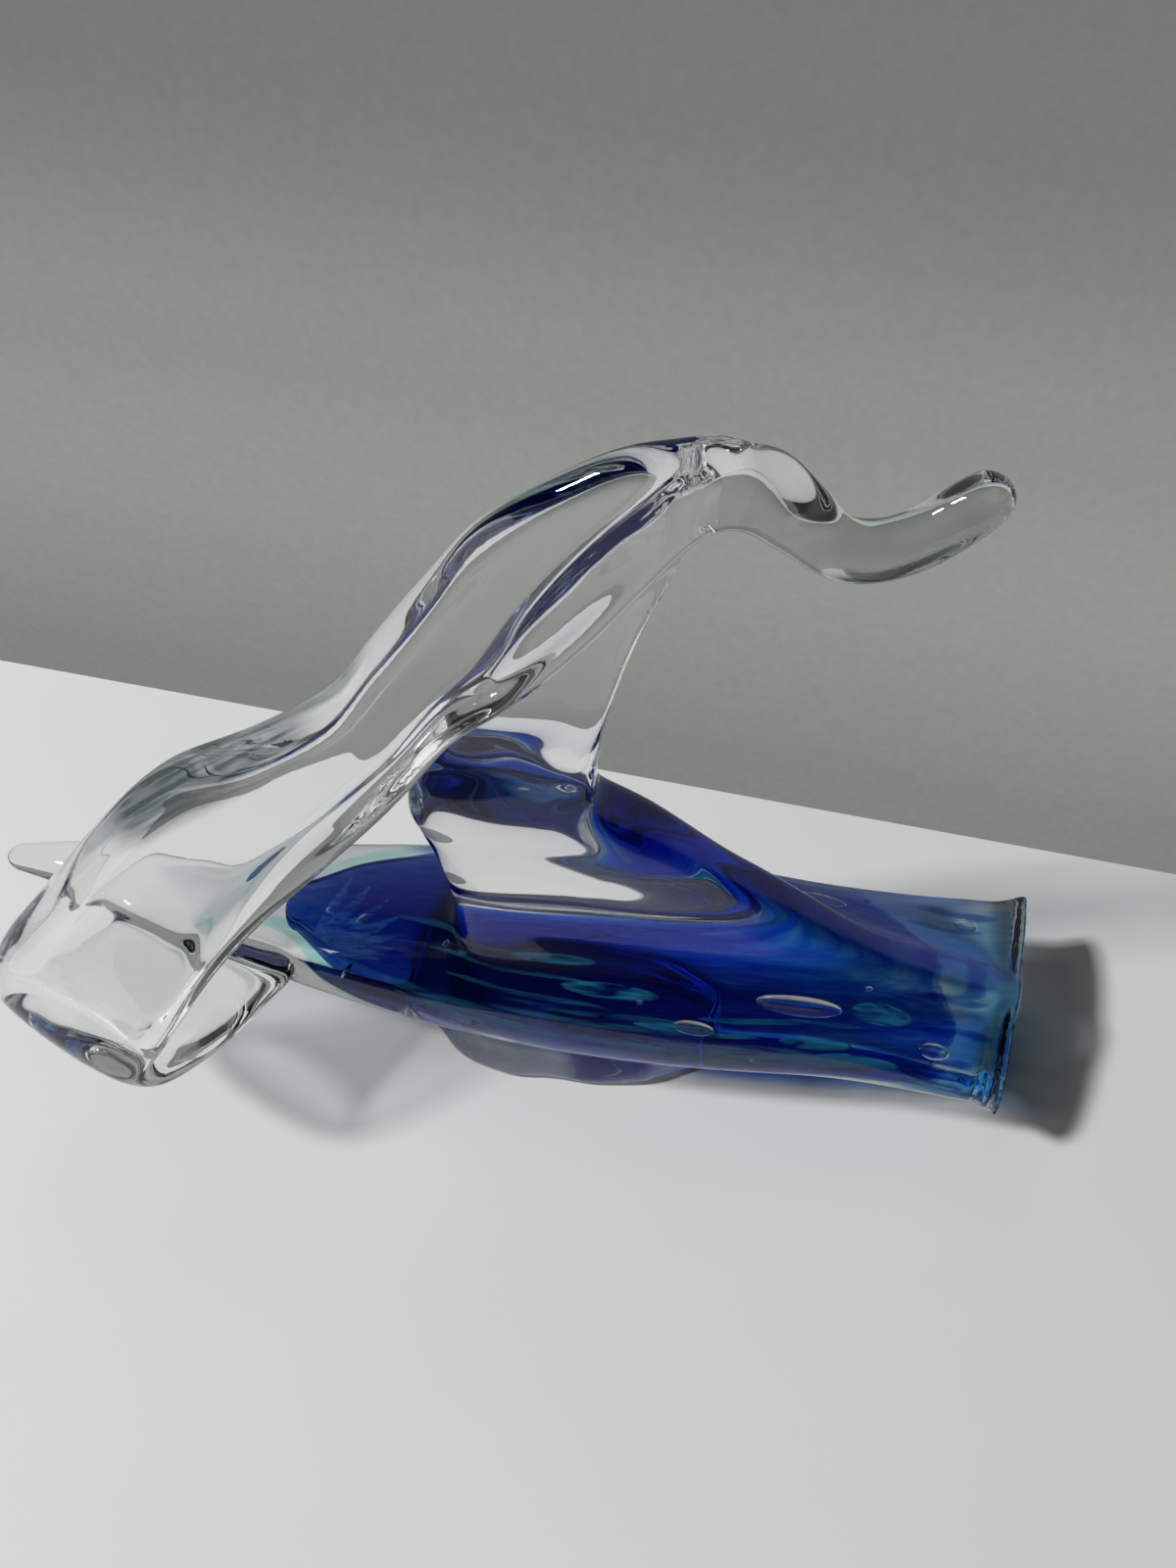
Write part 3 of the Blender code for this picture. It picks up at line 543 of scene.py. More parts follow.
def tube_shell(points, radius, taper, flat):
    """A drawn thread of glass through points, tapered by shares of its radius and flattened."""
    points = np.array(points, float)
    lengths = run_lengths(points)
    keys = np.linspace(0.0, lengths[-1], 40)
    read = fair(np.column_stack([lengths, points, radius * np.array(taper, float)]), keys)
    tangents = unit(np.gradient(read[:, 0:3], keys, axis=0))
    sideways = unit(np.cross(tangents, (0.0, 0.0, 1.0)))
    upward = np.cross(sideways, tangents)
    angles = turns(14)
    rings = [
        centre + side * (np.cos(angles) * r * flat)[:, None] + up * (np.sin(angles) * r)[:, None]
        for centre, r, side, up in zip(read[:, 0:3], np.maximum(read[:, 3], THREAD_LEAST), sideways, upward)
    ]
    return domed(rings, *((read[k, 0:3], way * tangents[k], read[k, 3]) for k, way in ((0, -1), (-1, 1))))


def bubble_shell(centre, half_length, half_width, half_height, turn):
    """An air bubble drawn out along the hull. Its faces look inwards, because it is a hollow in glass."""
    around = turns(36)
    c, s = math.cos(math.radians(turn)), math.sin(math.radians(turn))
    spin = np.array(((c, s, 0), (-s, c, 0), (0, 0, 1)))
    rings = []
    for k in range(1, BUBBLE_RINGS):
        angle = math.pi * k / BUBBLE_RINGS
        r = math.sin(angle)
        rings.append(np.stack([
            np.full(len(around), -half_length * math.cos(angle)),
            half_width * r * np.cos(around),
            half_height * r * np.sin(around),
        ], axis=1) @ spin + centre)
    ends = [np.array((x, 0, 0)) @ spin + centre for x in (-half_length, half_length)]
    points, quads, triangles = facing_out(*shell(rings, *ends))
    return points, quads[:, ::-1], triangles[:, ::-1]


def joined(bodies):
    """Several bodies' points and faces as one list."""
    points, faces, start = [], [], 0
    for body_points, quads, triangles in bodies:
        points.append(body_points)
        faces += [[int(v) + start for v in face] for face in (*quads, *triangles)]
        start += len(body_points)
    return np.vstack(points), faces


def rim_shell():
    """The sheared rim of the transom: a thin toothed bead round the stern."""
    sides = 720
    angles = turns(sides)
    across, up = rounded(angles, HULL_SQUARENESS)
    half_beam, half_depth, height = section_at(RIM_SHARE)
    rng = np.random.default_rng(8)
    teeth = 0.5 + 0.5 * np.sign(np.sin(RIM_TEETH * angles)) * np.abs(np.sin(RIM_TEETH * angles)) ** 0.6
    rough = np.convolve(rng.uniform(0.0, 1.0, sides + 8), np.ones(9) / 9, "valid")
    size = RIM_BEAD * (0.55 + 0.5 * teeth * rough + 0.6 * (rough - 0.5))
    y = across * (half_beam - RIM_INSET)
    z = height + up * (half_depth - RIM_INSET)
    middles = np.stack([hull_x(RIM_SHARE, y), y, z], axis=1)
    outward = unit(np.stack([np.zeros(sides), y / half_beam ** 2, (z - height) / half_depth ** 2], axis=1))
    rings = [
        middles
        + outward * (size * math.cos(turn))[:, None]
        - BOWWARD * (size * 0.8 * math.sin(turn))[:, None]
        for turn in turns(RIM_RINGS)
    ]
    return facing_out(np.vstack(rings), ring_quads(RIM_RINGS, sides, True), np.zeros((0, 3), int))


def foot_shell():
    """The pressed foot: a lumpy oval pad, ground flat below."""
    bulge = FOOT_HEIGHT * 0.30
    top = FOOT_HEIGHT + FOOT_BITE
    levels = (
        (0.0, -FOOT_EDGE_ROUND),
        (0.10 * bulge, -0.55 * FOOT_EDGE_ROUND),
        (0.45 * bulge, -0.12 * FOOT_EDGE_ROUND),
        (bulge, 0.0),
        (0.50 * top, -0.70 * FOOT_EDGE_ROUND),
        (0.72 * top, -2.00 * FOOT_EDGE_ROUND),
        (top, -3.60 * FOOT_EDGE_ROUND),
    )
    angles = turns(128)
    across, along = rounded(angles, FOOT_SQUARENESS)
    lump = 1 - FOOT_LEAN * along
    for count, depth, start in FOOT_LUMPS:
        lump = lump + depth * np.cos(count * angles + start)
    rings = []
    for height, inset in fair([(n, *level) for n, level in enumerate(levels)], np.linspace(0, 6, 31)):
        x = along * (FOOT_LENGTH / 2 + inset) * lump
        y = across * (FOOT_WIDTH / 2 + inset) * lump
        rings.append(np.stack([x, y, np.full(len(x), height)], axis=1))
    return facing_out(*shell(rings, (0.0, 0.0, rings[0][0][2]), (0.0, 0.0, top)))


def ribbon_ring(fore, aft, tangent, fore_thickness, aft_thickness, camber, power, focus, sides, beads):
    """One section of a sail, from its fore edge to its aft edge."""
    middle, half_span = (fore + aft) / 2, (aft - fore) / 2
    reach = np.linalg.norm(half_span)
    across = half_span / reach
    through = unit(np.cross(tangent, across))
    c, s = rounded(turns(sides), power)
    thickness = fore_thickness + (aft_thickness - fore_thickness) * ((c + 1) / 2) ** focus
    fore_bead, aft_bead = (np.exp(-((c - place) / BEAD_WIDTH) ** 2) for place in BEAD_PLACES)
    thickness *= 1 + beads[0] * fore_bead + beads[1] * aft_bead
    return (
        middle
        + across * (c * reach)[:, None]
        + through * (s * thickness / 2 + camber * (1 - c * c))[:, None]
    )


def sail_shell(rows, count, power, sides, focus=1.0, flutes=None, beads=NO_BEADS):
    """A sail lofted through rows of a fore edge, an aft edge, two thicknesses and a camber.

    The power may be a table of its own along the length, and the beads along the edges are one.
    Flutes are a count, a depth and a twist.
    """
    rows = np.array(rows, float)
    lengths = run_lengths((rows[:, 0:3] + rows[:, 3:6]) / 2)
    keys = np.linspace(0.0, lengths[-1], count)
    read = fair(np.column_stack([lengths, rows]), keys)
    middles = (read[:, 0:3] + read[:, 3:6]) / 2
    tangents = np.gradient(middles, keys, axis=0)
    along = np.linspace(0.0, 1.0, count)
    powers = fair(power, along)[:, 0] if isinstance(power, tuple) else np.full(count, power)
    loops = [
        ribbon_ring(row[0:3], row[3:6], tangent, row[6], row[7], row[8], squareness, focus, sides, swell)
        for row, tangent, squareness, swell in zip(read, tangents, powers, fair(beads, along))
    ]
    if flutes:
        lobes, depth, twist = flutes
        for loop, middle, share in zip(loops, middles, along):
            swell = 1 + depth * np.cos(lobes * turns(sides) + 2 * math.pi * twist * share)
            loop[:] = middle + (loop - middle) * swell[:, None]
    root = middles[0], -unit(tangents[0]), min(read[0][6] / 2, ROOT_DOME)
    return domed(loops, root, (middles[-1], unit(tangents[-1]), read[-1][6] / 2))


def mainsail_rows():
    """Edges and thicknesses of the mainsail, skirt first."""
    rows = []
    for luff_run, luff_rise, leech_run, leech_rise, offset, swell, foot in SKIRT_STATIONS:
        port = offset * SKIRT_TO_PORT
        leech_thickness = CLEW_THICKNESS + swell * (LEECH_THICKNESS - CLEW_THICKNESS)
        rows.append((
            TACK_X + luff_run * BOOM_LENGTH, -LUFF_PORT_SHARE * port, DECK_HEIGHT + luff_rise * WAIST_RISE,
            TACK_X + leech_run * BOOM_LENGTH, -port, DECK_HEIGHT + leech_rise * WAIST_RISE,
            foot * LUFF_THICKNESS, leech_thickness, 0.0,
        ))
    waist_x = TACK_X - WAIST_RAKE + WAIST_WIDTH / 2
    waist_height = DECK_HEIGHT + WAIST_RISE
    for up, hollow, width, offset, luff_share, leech_share in BLADE_STATIONS:
        middle_x = waist_x + up * (MASTHEAD_X - waist_x) - hollow * BLADE_HOLLOW
        starboard = offset * BLADE_TO_STARBOARD
        middle_z = waist_height + up * (MASTHEAD_HEIGHT - waist_height)
        half = width * WAIST_WIDTH / 2
        tilt = EDGE_TILT * half * (1 + up)
        rows.append((
            middle_x - half, starboard, middle_z - tilt,
            middle_x + half, starboard, middle_z + tilt,
            LUFF_THICKNESS * luff_share, LEECH_THICKNESS * leech_share, 0.0,
        ))
    return rows


def jib_rows():
    """Edges and thicknesses of the jib, from its root in the bow."""
    rows = []
    for run, swing, rise, width, across, thickness, camber in JIB_STATIONS:
        middle = np.array((
            JIB_ROOT_X + run * (MASTHEAD_X - JIB_ROOT_X),
            -swing * JIB_SWING,
            DECK_HEIGHT + rise * MAST_RISE,
        ))
        half_span = unit(across) * width * JIB_WIDTH / 2
        thick = thickness * JIB_THICKNESS
        rows.append((*(middle - half_span), *(middle + half_span), thick, thick, camber * JIB_CAMBER))
    return rows


def pennant_rows():
    """Edges and thicknesses of the pennant, from the masthead."""
    middles, widths = [], []
    for reach, dip, offset, across, through, turn in PENNANT_STATIONS:
        middles.append(np.array((
            MASTHEAD_X + reach * PENNANT_REACH,
            offset * PENNANT_TO_STARBOARD,
            MASTHEAD_HEIGHT - dip * PENNANT_DIP,
        )))
        widths.append((across * PENNANT_DIAMETER / 2, through * PENNANT_DIAMETER, math.radians(turn)))
    tangents = np.gradient(np.array(middles), axis=0)
    rows = []
    for middle, tangent, (half, thick, turn) in zip(middles, tangents, widths):
        level = unit(np.cross(tangent, (0.0, 1.0, 0.0)))
        side = unit(np.cross(level, tangent))
        across = unit(side * math.sin(turn) + level * math.cos(turn))
        rows.append((*(middle - across * half), *(middle + across * half), thick, thick, 0.0))
    return rows


class Field:
    """Distances to a body's surface on a box of voxels, negative inside."""

    def __init__(self, low, values):
        self.low, self.values = np.asarray(low), values

    def read(self, points):
        """Distances at points, between the voxels' centres."""
        at = points / VOXEL - self.low
        top = np.array(self.values.shape) - 2
        base = np.clip(np.floor(at).astype(int), 0, top)
        f = np.clip(at - base, 0.0, 1.0)
        total = 0.0
        for corner in np.ndindex(2, 2, 2):
            near = np.where(corner, f, 1 - f)
            total = total + near[:, 0] * near[:, 1] * near[:, 2] * self.values[tuple((base + corner).T)]
        outside = np.any((at < 0) | (at > top + 1), axis=1)
        return np.where(outside, REACH, total)

    def slope(self, points):
        """Direction in which the distance grows."""
        return np.stack([
            (self.read(points + step) - self.read(points - step)) / (2 * VOXEL)
            for step in VOXEL * np.eye(3)
        ], axis=1)


def level_set(points, quads, triangles):
    """The field of a closed body."""
    grid = vdb.FloatGrid.createLevelSetFromPolygons(
        points.astype(np.float32),
        triangles=triangles.astype(np.uint32),
        quads=quads.astype(np.uint32),
        transform=vdb.createLinearTransform(voxelSize=VOXEL),
        halfWidth=REACH / VOXEL,
    )
    low = np.floor((points.min(axis=0) - REACH) / VOXEL).astype(int) - 1
    high = np.ceil((points.max(axis=0) + REACH) / VOXEL).astype(int) + 2
    values = np.empty(tuple(high - low), np.float32)
    grid.copyToArray(values, ijk=tuple(int(v) for v in low))
    return Field(low, values)


def melt(whole, part, fillet):
    """Joins a part's field to the whole, with a fillet where they meet."""
    start = part.low - whole.low
    window = tuple(slice(a, a + n) for a, n in zip(start, part.values.shape))
    a, b = whole.values[window], part.values
    h = np.maximum(fillet - np.abs(a - b), 0.0) / fillet
    whole.values[window] = np.minimum(a, b) - h ** 3 * (fillet / 6)


def ripple(field, wavelength, depth, seed):
    """Shifts the surface in and out by a soft noise, as hot glass sets."""
    rng = np.random.default_rng(seed)
    shape = field.values.shape
    waves = rng.uniform(-1.0, 1.0, [int(n * VOXEL / wavelength) + 5 for n in shape])
    for axis, size in enumerate(shape):
        at = np.arange(size) * VOXEL / wavelength + 1.0
        base = np.floor(at).astype(int)
        f = at - base
        weights = np.zeros((size, waves.shape[axis]))
        rows = np.arange(size)
        weights[rows, base - 1] = (1 - f) ** 3 / 6
        weights[rows, base] = (3 * f ** 3 - 6 * f ** 2 + 4) / 6
        weights[rows, base + 1] = (-3 * f ** 3 + 3 * f ** 2 + 3 * f + 1) / 6
        weights[rows, base + 2] = f ** 3 / 6
        waves = np.moveaxis(np.tensordot(weights, waves, axes=(1, axis)), 0, axis)
    field.values += (depth * 2.2 * waves).astype(np.float32)


def soften(values, passes):
    """Blurs the field a little, so that the skin has no steps."""
    for _ in range(passes):
        for axis in range(3):
            moved = np.moveaxis(values, axis, 0)
            moved[1:-1] = 0.25 * moved[:-2] + 0.5 * moved[1:-1] + 0.25 * moved[2:]


def sides_of(quads):
    """The four sides of each quad, each in the quad's own direction."""
    return np.concatenate([quads[:, [0, 1]], quads[:, [1, 2]], quads[:, [2, 3]], quads[:, [3, 0]]])


def summed(index, values, count):
    """Rows of values added up by their index."""
    return np.stack([np.bincount(index, weights=column, minlength=count) for column in values.T], axis=1)


def averaged(values, edges, count):
    """The mean of each vertex's neighbours."""
    first, second = edges[:, 0], edges[:, 1]
    degree = np.bincount(edges.ravel(), minlength=count).astype(float)
    total = summed(first, values[second], count) + summed(second, values[first], count)
    return total / degree[:, None]


def skin_of(whole):
    """Points, quads and edges of the fused skin, drawn onto the level set and evenly spaced."""
    grid = vdb.FloatGrid(REACH)
    grid.copyFromArray(whole.values, ijk=tuple(int(v) for v in whole.low))
    grid.transform = vdb.createLinearTransform(voxelSize=VOXEL)
    points, quads = grid.convertToQuads(isovalue=0.0)
    points, quads = points.astype(float), quads.astype(np.int64)
    edges = np.unique(np.sort(sides_of(quads), axis=1), axis=0)
    for _ in range(RELAX_PASSES):
        points = 0.5 * points + 0.5 * averaged(points, edges, len(points))
        for _ in range(2):
            slope = whole.slope(points)
            points -= slope * (whole.read(points) / np.maximum((slope ** 2).sum(axis=1), 0.05))[:, None]
    return points, quads, edges


def quad_normals(points, quads):
    """Vertex normals that follow the quads."""
    a, b, c, d = (points[quads[:, k]] for k in range(4))
    face = np.cross(c - a, d - b)
    total = np.zeros_like(points)
    for k in range(4):
        total += summed(quads[:, k], face, len(points))
    return unit(total)


def border_loops(quads):
    """The closed loops of edges that only one quad uses, in order."""
    keys = {(int(a), int(b)) for a, b in sides_of(quads)}
    after = {}
    for a, b in keys:
        if (b, a) not in keys:
            after.setdefault(a, []).append(b)
    loops = []
    while after:
        start = next(iter(after))
        loop, at = [], start
        while True:
            nexts = after[at]
            follower = nexts.pop()
            if not nexts:
                del after[at]
            loop.append(at)
            at = follower
            if at == start:
                break
        loops.append(loop)
    return loops


def placed(name, data):
    """A new object, linked to the scene."""
    piece = bpy.data.objects.new(name, data)
    bpy.context.scene.collection.objects.link(piece)
    return piece


def mesh_object(name, points, faces, material, normals=None, seam=None, seam_start=None):
    """A smooth mesh object. Faces from seam_start on take the seam's material."""
    data = bpy.data.meshes.new(name)
    data.from_pydata([tuple(p) for p in points], [], [tuple(int(v) for v in f) for f in faces])
    data.materials.append(material)
    if seam is not None:
        data.materials.append(seam)
        indices = np.zeros(len(data.polygons), np.int32)
        indices[seam_start:] = 1
        data.polygons.foreach_set("material_index", indices)
    data.shade_smooth()
    if normals is not None:
        data.normals_split_custom_set_from_vertices([tuple(n) for n in normals])
    data.update()
    return placed(name, data)


def share_out(points, quads, normals, name, material, seam):
    """A piece of the skin, with its own quads, closed inside the glass by seam faces."""
    used = np.unique(quads)
    renumber = np.full(len(points), -1)
    renumber[used] = np.arange(len(used))
    own = renumber[quads]
    own_points, own_normals = points[used], normals[used]
    faces = [list(q) for q in own]
    seam_start = len(faces)
    poles = []
    for loop in border_loops(own):
        poles.append(own_points[loop].mean(axis=0) - SEAM_DEPTH * own_normals[loop].mean(axis=0))
        pole = len(own_points) + len(poles) - 1
        faces += [[b, a, pole] for a, b in zip(loop, loop[1:] + loop[:1])]
    if poles:
        own_points = np.vstack([own_points, poles])
        own_normals = np.vstack([own_normals, [(0.0, 0.0, 1.0)] * len(poles)])
    return mesh_object(name, own_points, faces, material, own_normals, seam, seam_start)


def add(tree, kind, sockets, output=0, operation=None):
    """The output of a new shader node. Each socket takes a value, or a link from another output."""
    node = tree.nodes.new("ShaderNode" + kind)
    if operation:
        node.operation = operation
    fill(tree, node, sockets)
    return node.outputs[output]


def fill(tree, node, sockets):
    """Gives a node's sockets their values and links."""
    for key, value in sockets.items():
        if isinstance(value, bpy.types.NodeSocket):
            tree.links.new(value, node.inputs[key])
        else:
            node.inputs[key].default_value = value


def noise(tree, place, scale, detail, distortion=0.0):
    """A soft noise."""
    sockets = {"Vector": place, "Scale": scale, "Detail": detail, "Distortion": distortion}
    return add(tree, "TexNoise", sockets, "Fac")


def remap(tree, value, low, high, at_low=0.0, at_high=1.0, smooth=False):
    """A value read from one range and written to another."""
    node = tree.nodes.new("ShaderNodeMapRange")
    if smooth:
        node.interpolation_type = "SMOOTHSTEP"
    fill(tree, node, {
        "Value": value, "From Min": low, "From Max": high, "To Min": at_low, "To Max": at_high,
    })
    return node.outputs["Result"]


def blend(tree, factor, first, second, kind="MIX"):
    """Two colours mixed. Each is three numbers or another node's output."""
    node = tree.nodes.new("ShaderNodeMix")
    node.data_type, node.blend_type = "RGBA", kind
    first, second = (c if isinstance(c, bpy.types.NodeSocket) else (*c, 1.0) for c in (first, second))
    fill(tree, node, {"Factor": factor, "A": first, "B": second})
    return node.outputs["Result"]


def colour_ramp(tree, value, stops, interpolation="LINEAR"):
    """A colour that changes with a value, through stops in order."""
    node = tree.nodes.new("ShaderNodeValToRGB")
    node.color_ramp.interpolation = interpolation
    elements = node.color_ramp.elements
    for element, (spot, colour) in zip(elements, (stops[0], stops[-1])):
        element.position, element.color = spot, (*colour, 1.0)
    for spot, colour in stops[1:-1]:
        elements.new(spot).color = (*colour, 1.0)
    fill(tree, node, {"Fac": value})
    return node.outputs["Color"]


def new_material(name):
    """A material, its empty node tree, its object coordinates and the sockets of its output."""
    material = bpy.data.materials.new(name)
    material.use_nodes = True
    tree = material.node_tree
    tree.nodes.clear()
    out = tree.nodes.new("ShaderNodeOutputMaterial")
    return material, tree, add(tree, "TexCoord", {}, "Object"), out.inputs


def along_hull(tree, place, fore, aft, start, end):
    """A colour that changes along the hull, from one station to another."""
    station = add(tree, "SeparateXYZ", {"Vector": place}, "X")
    return blend(tree, remap(tree, station, start, end), fore, aft)


def streaks(tree, place, stretch, scale, detail, distortion):
    """A noise drawn out along the hull."""
    stretched = add(tree, "Mapping", {"Vector": place, "Scale": stretch})
    return noise(tree, stretched, scale, detail, distortion)


def surface(tree, out, shader, shadow):
    """Gives the material its shader, and lets light pass to the floor's shadow in a colour."""
    through = add(tree, "BsdfTransparent", {"Color": shadow})
    ray = add(tree, "LightPath", {}, "Is Shadow Ray")
    mix = add(tree, "MixShader", {"Fac": ray, 1: shader, 2: through})
    tree.links.new(mix, out["Surface"])


def with_painted_bands(tree, place, colour, start, end, radius, painted_band):
    """The colour with painted shade: dark streaky bands drawn out round a line from start to end."""
    def step(operation, sockets, output="Vector"):
        return add(tree, "VectorMath", sockets, output, operation)

    def product(first, second):
        return add(tree, "Math", {0: first, 1: second}, operation="MULTIPLY")

    line = Vector(end) - Vector(start)
    length = line.length
    axis = tuple(line.normalized())
    away = step("SUBTRACT", {0: place, 1: start})
    run = step("DOT_PRODUCT", {0: away, 1: axis}, "Value")
    across = step("SUBTRACT", {0: away, 1: step("SCALE", {0: axis, "Scale": run})})
    drawn = step("SCALE", {0: axis, "Scale": product(run, BAND_DRAW)})
    lines = noise(tree, step("ADD", {0: across, 1: drawn}), 700.0, 2.0)
    cover = remap(tree, step("LENGTH", {0: across}, "Value"), 0.6 * radius, radius, 1.0, 0.0, True)
    for value, *span in (
        (run, 0.0, BAND_FADE, 0.0, 1.0),
        (run, length - BAND_FADE, length, 1.0, 0.0),
        (lines, 0.36, 0.60, 0.80, 1.0),
    ):
        cover = product(cover, remap(tree, value, *span, True))
    return blend(tree, cover, colour, painted_band)


def clear_glass(
    name, pale, deep, wave, seed, shade=(0.45, 0.48, 0.50), ground=False, grain=38.0, stern=1.0, painted_bands=(),
):
    """Clear fire-polished glass, with a faint tint and waves, that lets light pass to the floor.

    Shade is the colour that light takes in the floor's shadow, and stern is how much passes at the
    stern. Ground glass is frosted on its lowest face. Painted bands are lines of painted shade: dark
    streaks in the tint that stand in for shade the glass reflects and refracts.
    """
    material, tree, place, out = new_material(name)
    shift = add(tree, "Mapping", {"Vector": place, "Location": (seed, 0.37 * seed, 0.0)})
    colour = blend(tree, noise(tree, shift, grain, 2.0), pale, deep)
    for painted_band in painted_bands:
        colour = with_painted_bands(tree, place, colour, *painted_band)
    waves = noise(tree, shift, 70.0, 1.0, 0.6)
    roughness = 0.0
    if ground:
        height = add(tree, "SeparateXYZ", {"Vector": place}, "Z")
        roughness = remap(tree, height, 0.0003, 0.0009, 0.55, 0.0)
    shader = add(tree, "BsdfPrincipled", {
        "Base Color": colour,
        "Roughness": roughness,
        "IOR": GLASS_IOR,
        "Transmission Weight": 1.0,
        "Normal": add(tree, "Bump", {"Strength": 1.0, "Distance": wave, "Height": waves}),
    })
    edge = add(tree, "LayerWeight", {"Blend": 0.35}, "Facing")
    shadow = blend(tree, edge, [0.5 + 0.5 * c for c in shade], [0.5 * c for c in shade])
    thinned = along_hull(tree, place, WHITE, (stern, stern, stern), *STERN_SPAN)
    surface(tree, out, shader, blend(tree, 1.0, shadow, thinned, "MULTIPLY"))
    return material


def coloured_glass(name, colour, density, deep, dusk=WHITE, stern_dusk=None, bow=WHITE):
    """Coloured glass inside the clear glass: it takes up light, and is streaked along its length.

    Dusk is what each of its faces lets through to the floor's shadow, and stern dusk is the same at
    the stern. Bow is the glass's tint in the bow.
    """
    material, tree, place, out = new_material(name)
    deepness = remap(tree, streaks(tree, place, (9.0, 110.0, 110.0), 4.0, 3.0, 0.8), 0.38, 0.62)
    tint = blend(tree, deepness, WHITE, deep)
    bowed = along_hull(tree, place, bow, WHITE, *BOW_SPAN)
    shader = add(tree, "BsdfPrincipled", {
        "Base Color": blend(tree, 1.0, tint, bowed, "MULTIPLY"),
        "Roughness": 0.0,
        "IOR": 1.0,
        "Transmission Weight": 1.0,
    })
    surface(tree, out, shader, along_hull(tree, place, dusk, stern_dusk or dusk, *STERN_SPAN))
    volume = add(tree, "VolumeAbsorption", {"Color": (*colour, 1.0), "Density": density})
    tree.links.new(volume, out["Volume"])
    return material


def veil_glass(name, pale, deep, thickest):
    """A veil of coloured glass: streaks of colour along the hull with clear glass between them."""
    material, tree, place, out = new_material(name)
    streak = streaks(tree, place, (22.0, 190.0, 190.0), 3.0, 4.0, 1.2)
    shader = add(tree, "BsdfPrincipled", {
        "Base Color": blend(tree, streak, pale, deep), "Roughness": 0.45, "Specular IOR Level": 0.0,
    })
    mix = add(tree, "MixShader", {
        "Fac": remap(tree, streak, 0.40, 0.66, 0.0, thickest),
        1: add(tree, "BsdfTransparent", {}),
        2: shader,
    })
    tree.links.new(mix, out["Surface"])
    return material


def seam_material():
    """The seam between two pieces of fused glass, which doesn't show."""
    material, tree, place, out = new_material("fused_seam")
    tree.links.new(add(tree, "BsdfTransparent", {}), out["Surface"])
    return material


def settle(piece, slot, *nodes):
    """The piece rides on the boat's one body, in place of the CAD nodes, whose parts are hidden. Its slot
    is not used.
    """
    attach(piece, "root")
    if nodes:
        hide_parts(*nodes)
    return piece


def fused_glass():
    """The fused skin, and the index of the clear piece that owns each of its quads."""
    bodies = {
        "hull": hull_shell(),
        "foot": foot_shell(),
        "mainsail": sail_shell(mainsail_rows(), 150, MAINSAIL_SQUARENESS, 96, LEECH_FOCUS),
        "jib": sail_shell(jib_rows(), 260, JIB_SQUARENESSES, 96, beads=JIB_BEADS),
        "pennant": sail_shell(pennant_rows(), 110, PENNANT_SQUARENESS, 48, 1.0, PENNANT_FLUTES),
    }
    fields = {name: level_set(*body) for name, body in bodies.items()}
    ripple(fields["foot"], *FOOT_RIPPLE)
    low = np.min([f.low for f in fields.values()], axis=0)
    high = np.max([f.low + f.values.shape for f in fields.values()], axis=0)
    whole = Field(low, np.full(tuple(high - low), REACH, np.float32))
    for name, fillet in FILLETS:
        melt(whole, fields[name], fillet)
    for waves in SKIN_RIPPLES:
        ripple(whole, *waves)
    soften(whole.values, SOFTEN_PASSES)
    below = int(round(-whole.low[2]))
    heights = (np.arange(whole.values.shape[2]) - below) * VOXEL
    whole.values[:] = np.maximum(whole.values, GROUND_GAP - heights[None, None, :].astype(np.float32))
    points, quads, edges = skin_of(whole)
    normals = quad_normals(points, quads)
    for _ in range(NORMAL_PASSES):
        normals = unit(0.5 * normals + 0.5 * averaged(normals, edges, len(points)))
    if np.einsum("ij,ij->i", normals, whole.slope(points)).mean() < 0:
        quads, normals = quads[:, ::-1], -normals
    scores = np.stack([field.read(points) for field in fields.values()], axis=1)
    scores[:, 0] += HULL_HANDICAP
    for _ in range(OWNER_PASSES):
        scores = 0.4 * scores + 0.6 * averaged(scores, edges, len(points))
    return points, quads, normals, np.argmin(scores[quads].mean(axis=1), axis=1)


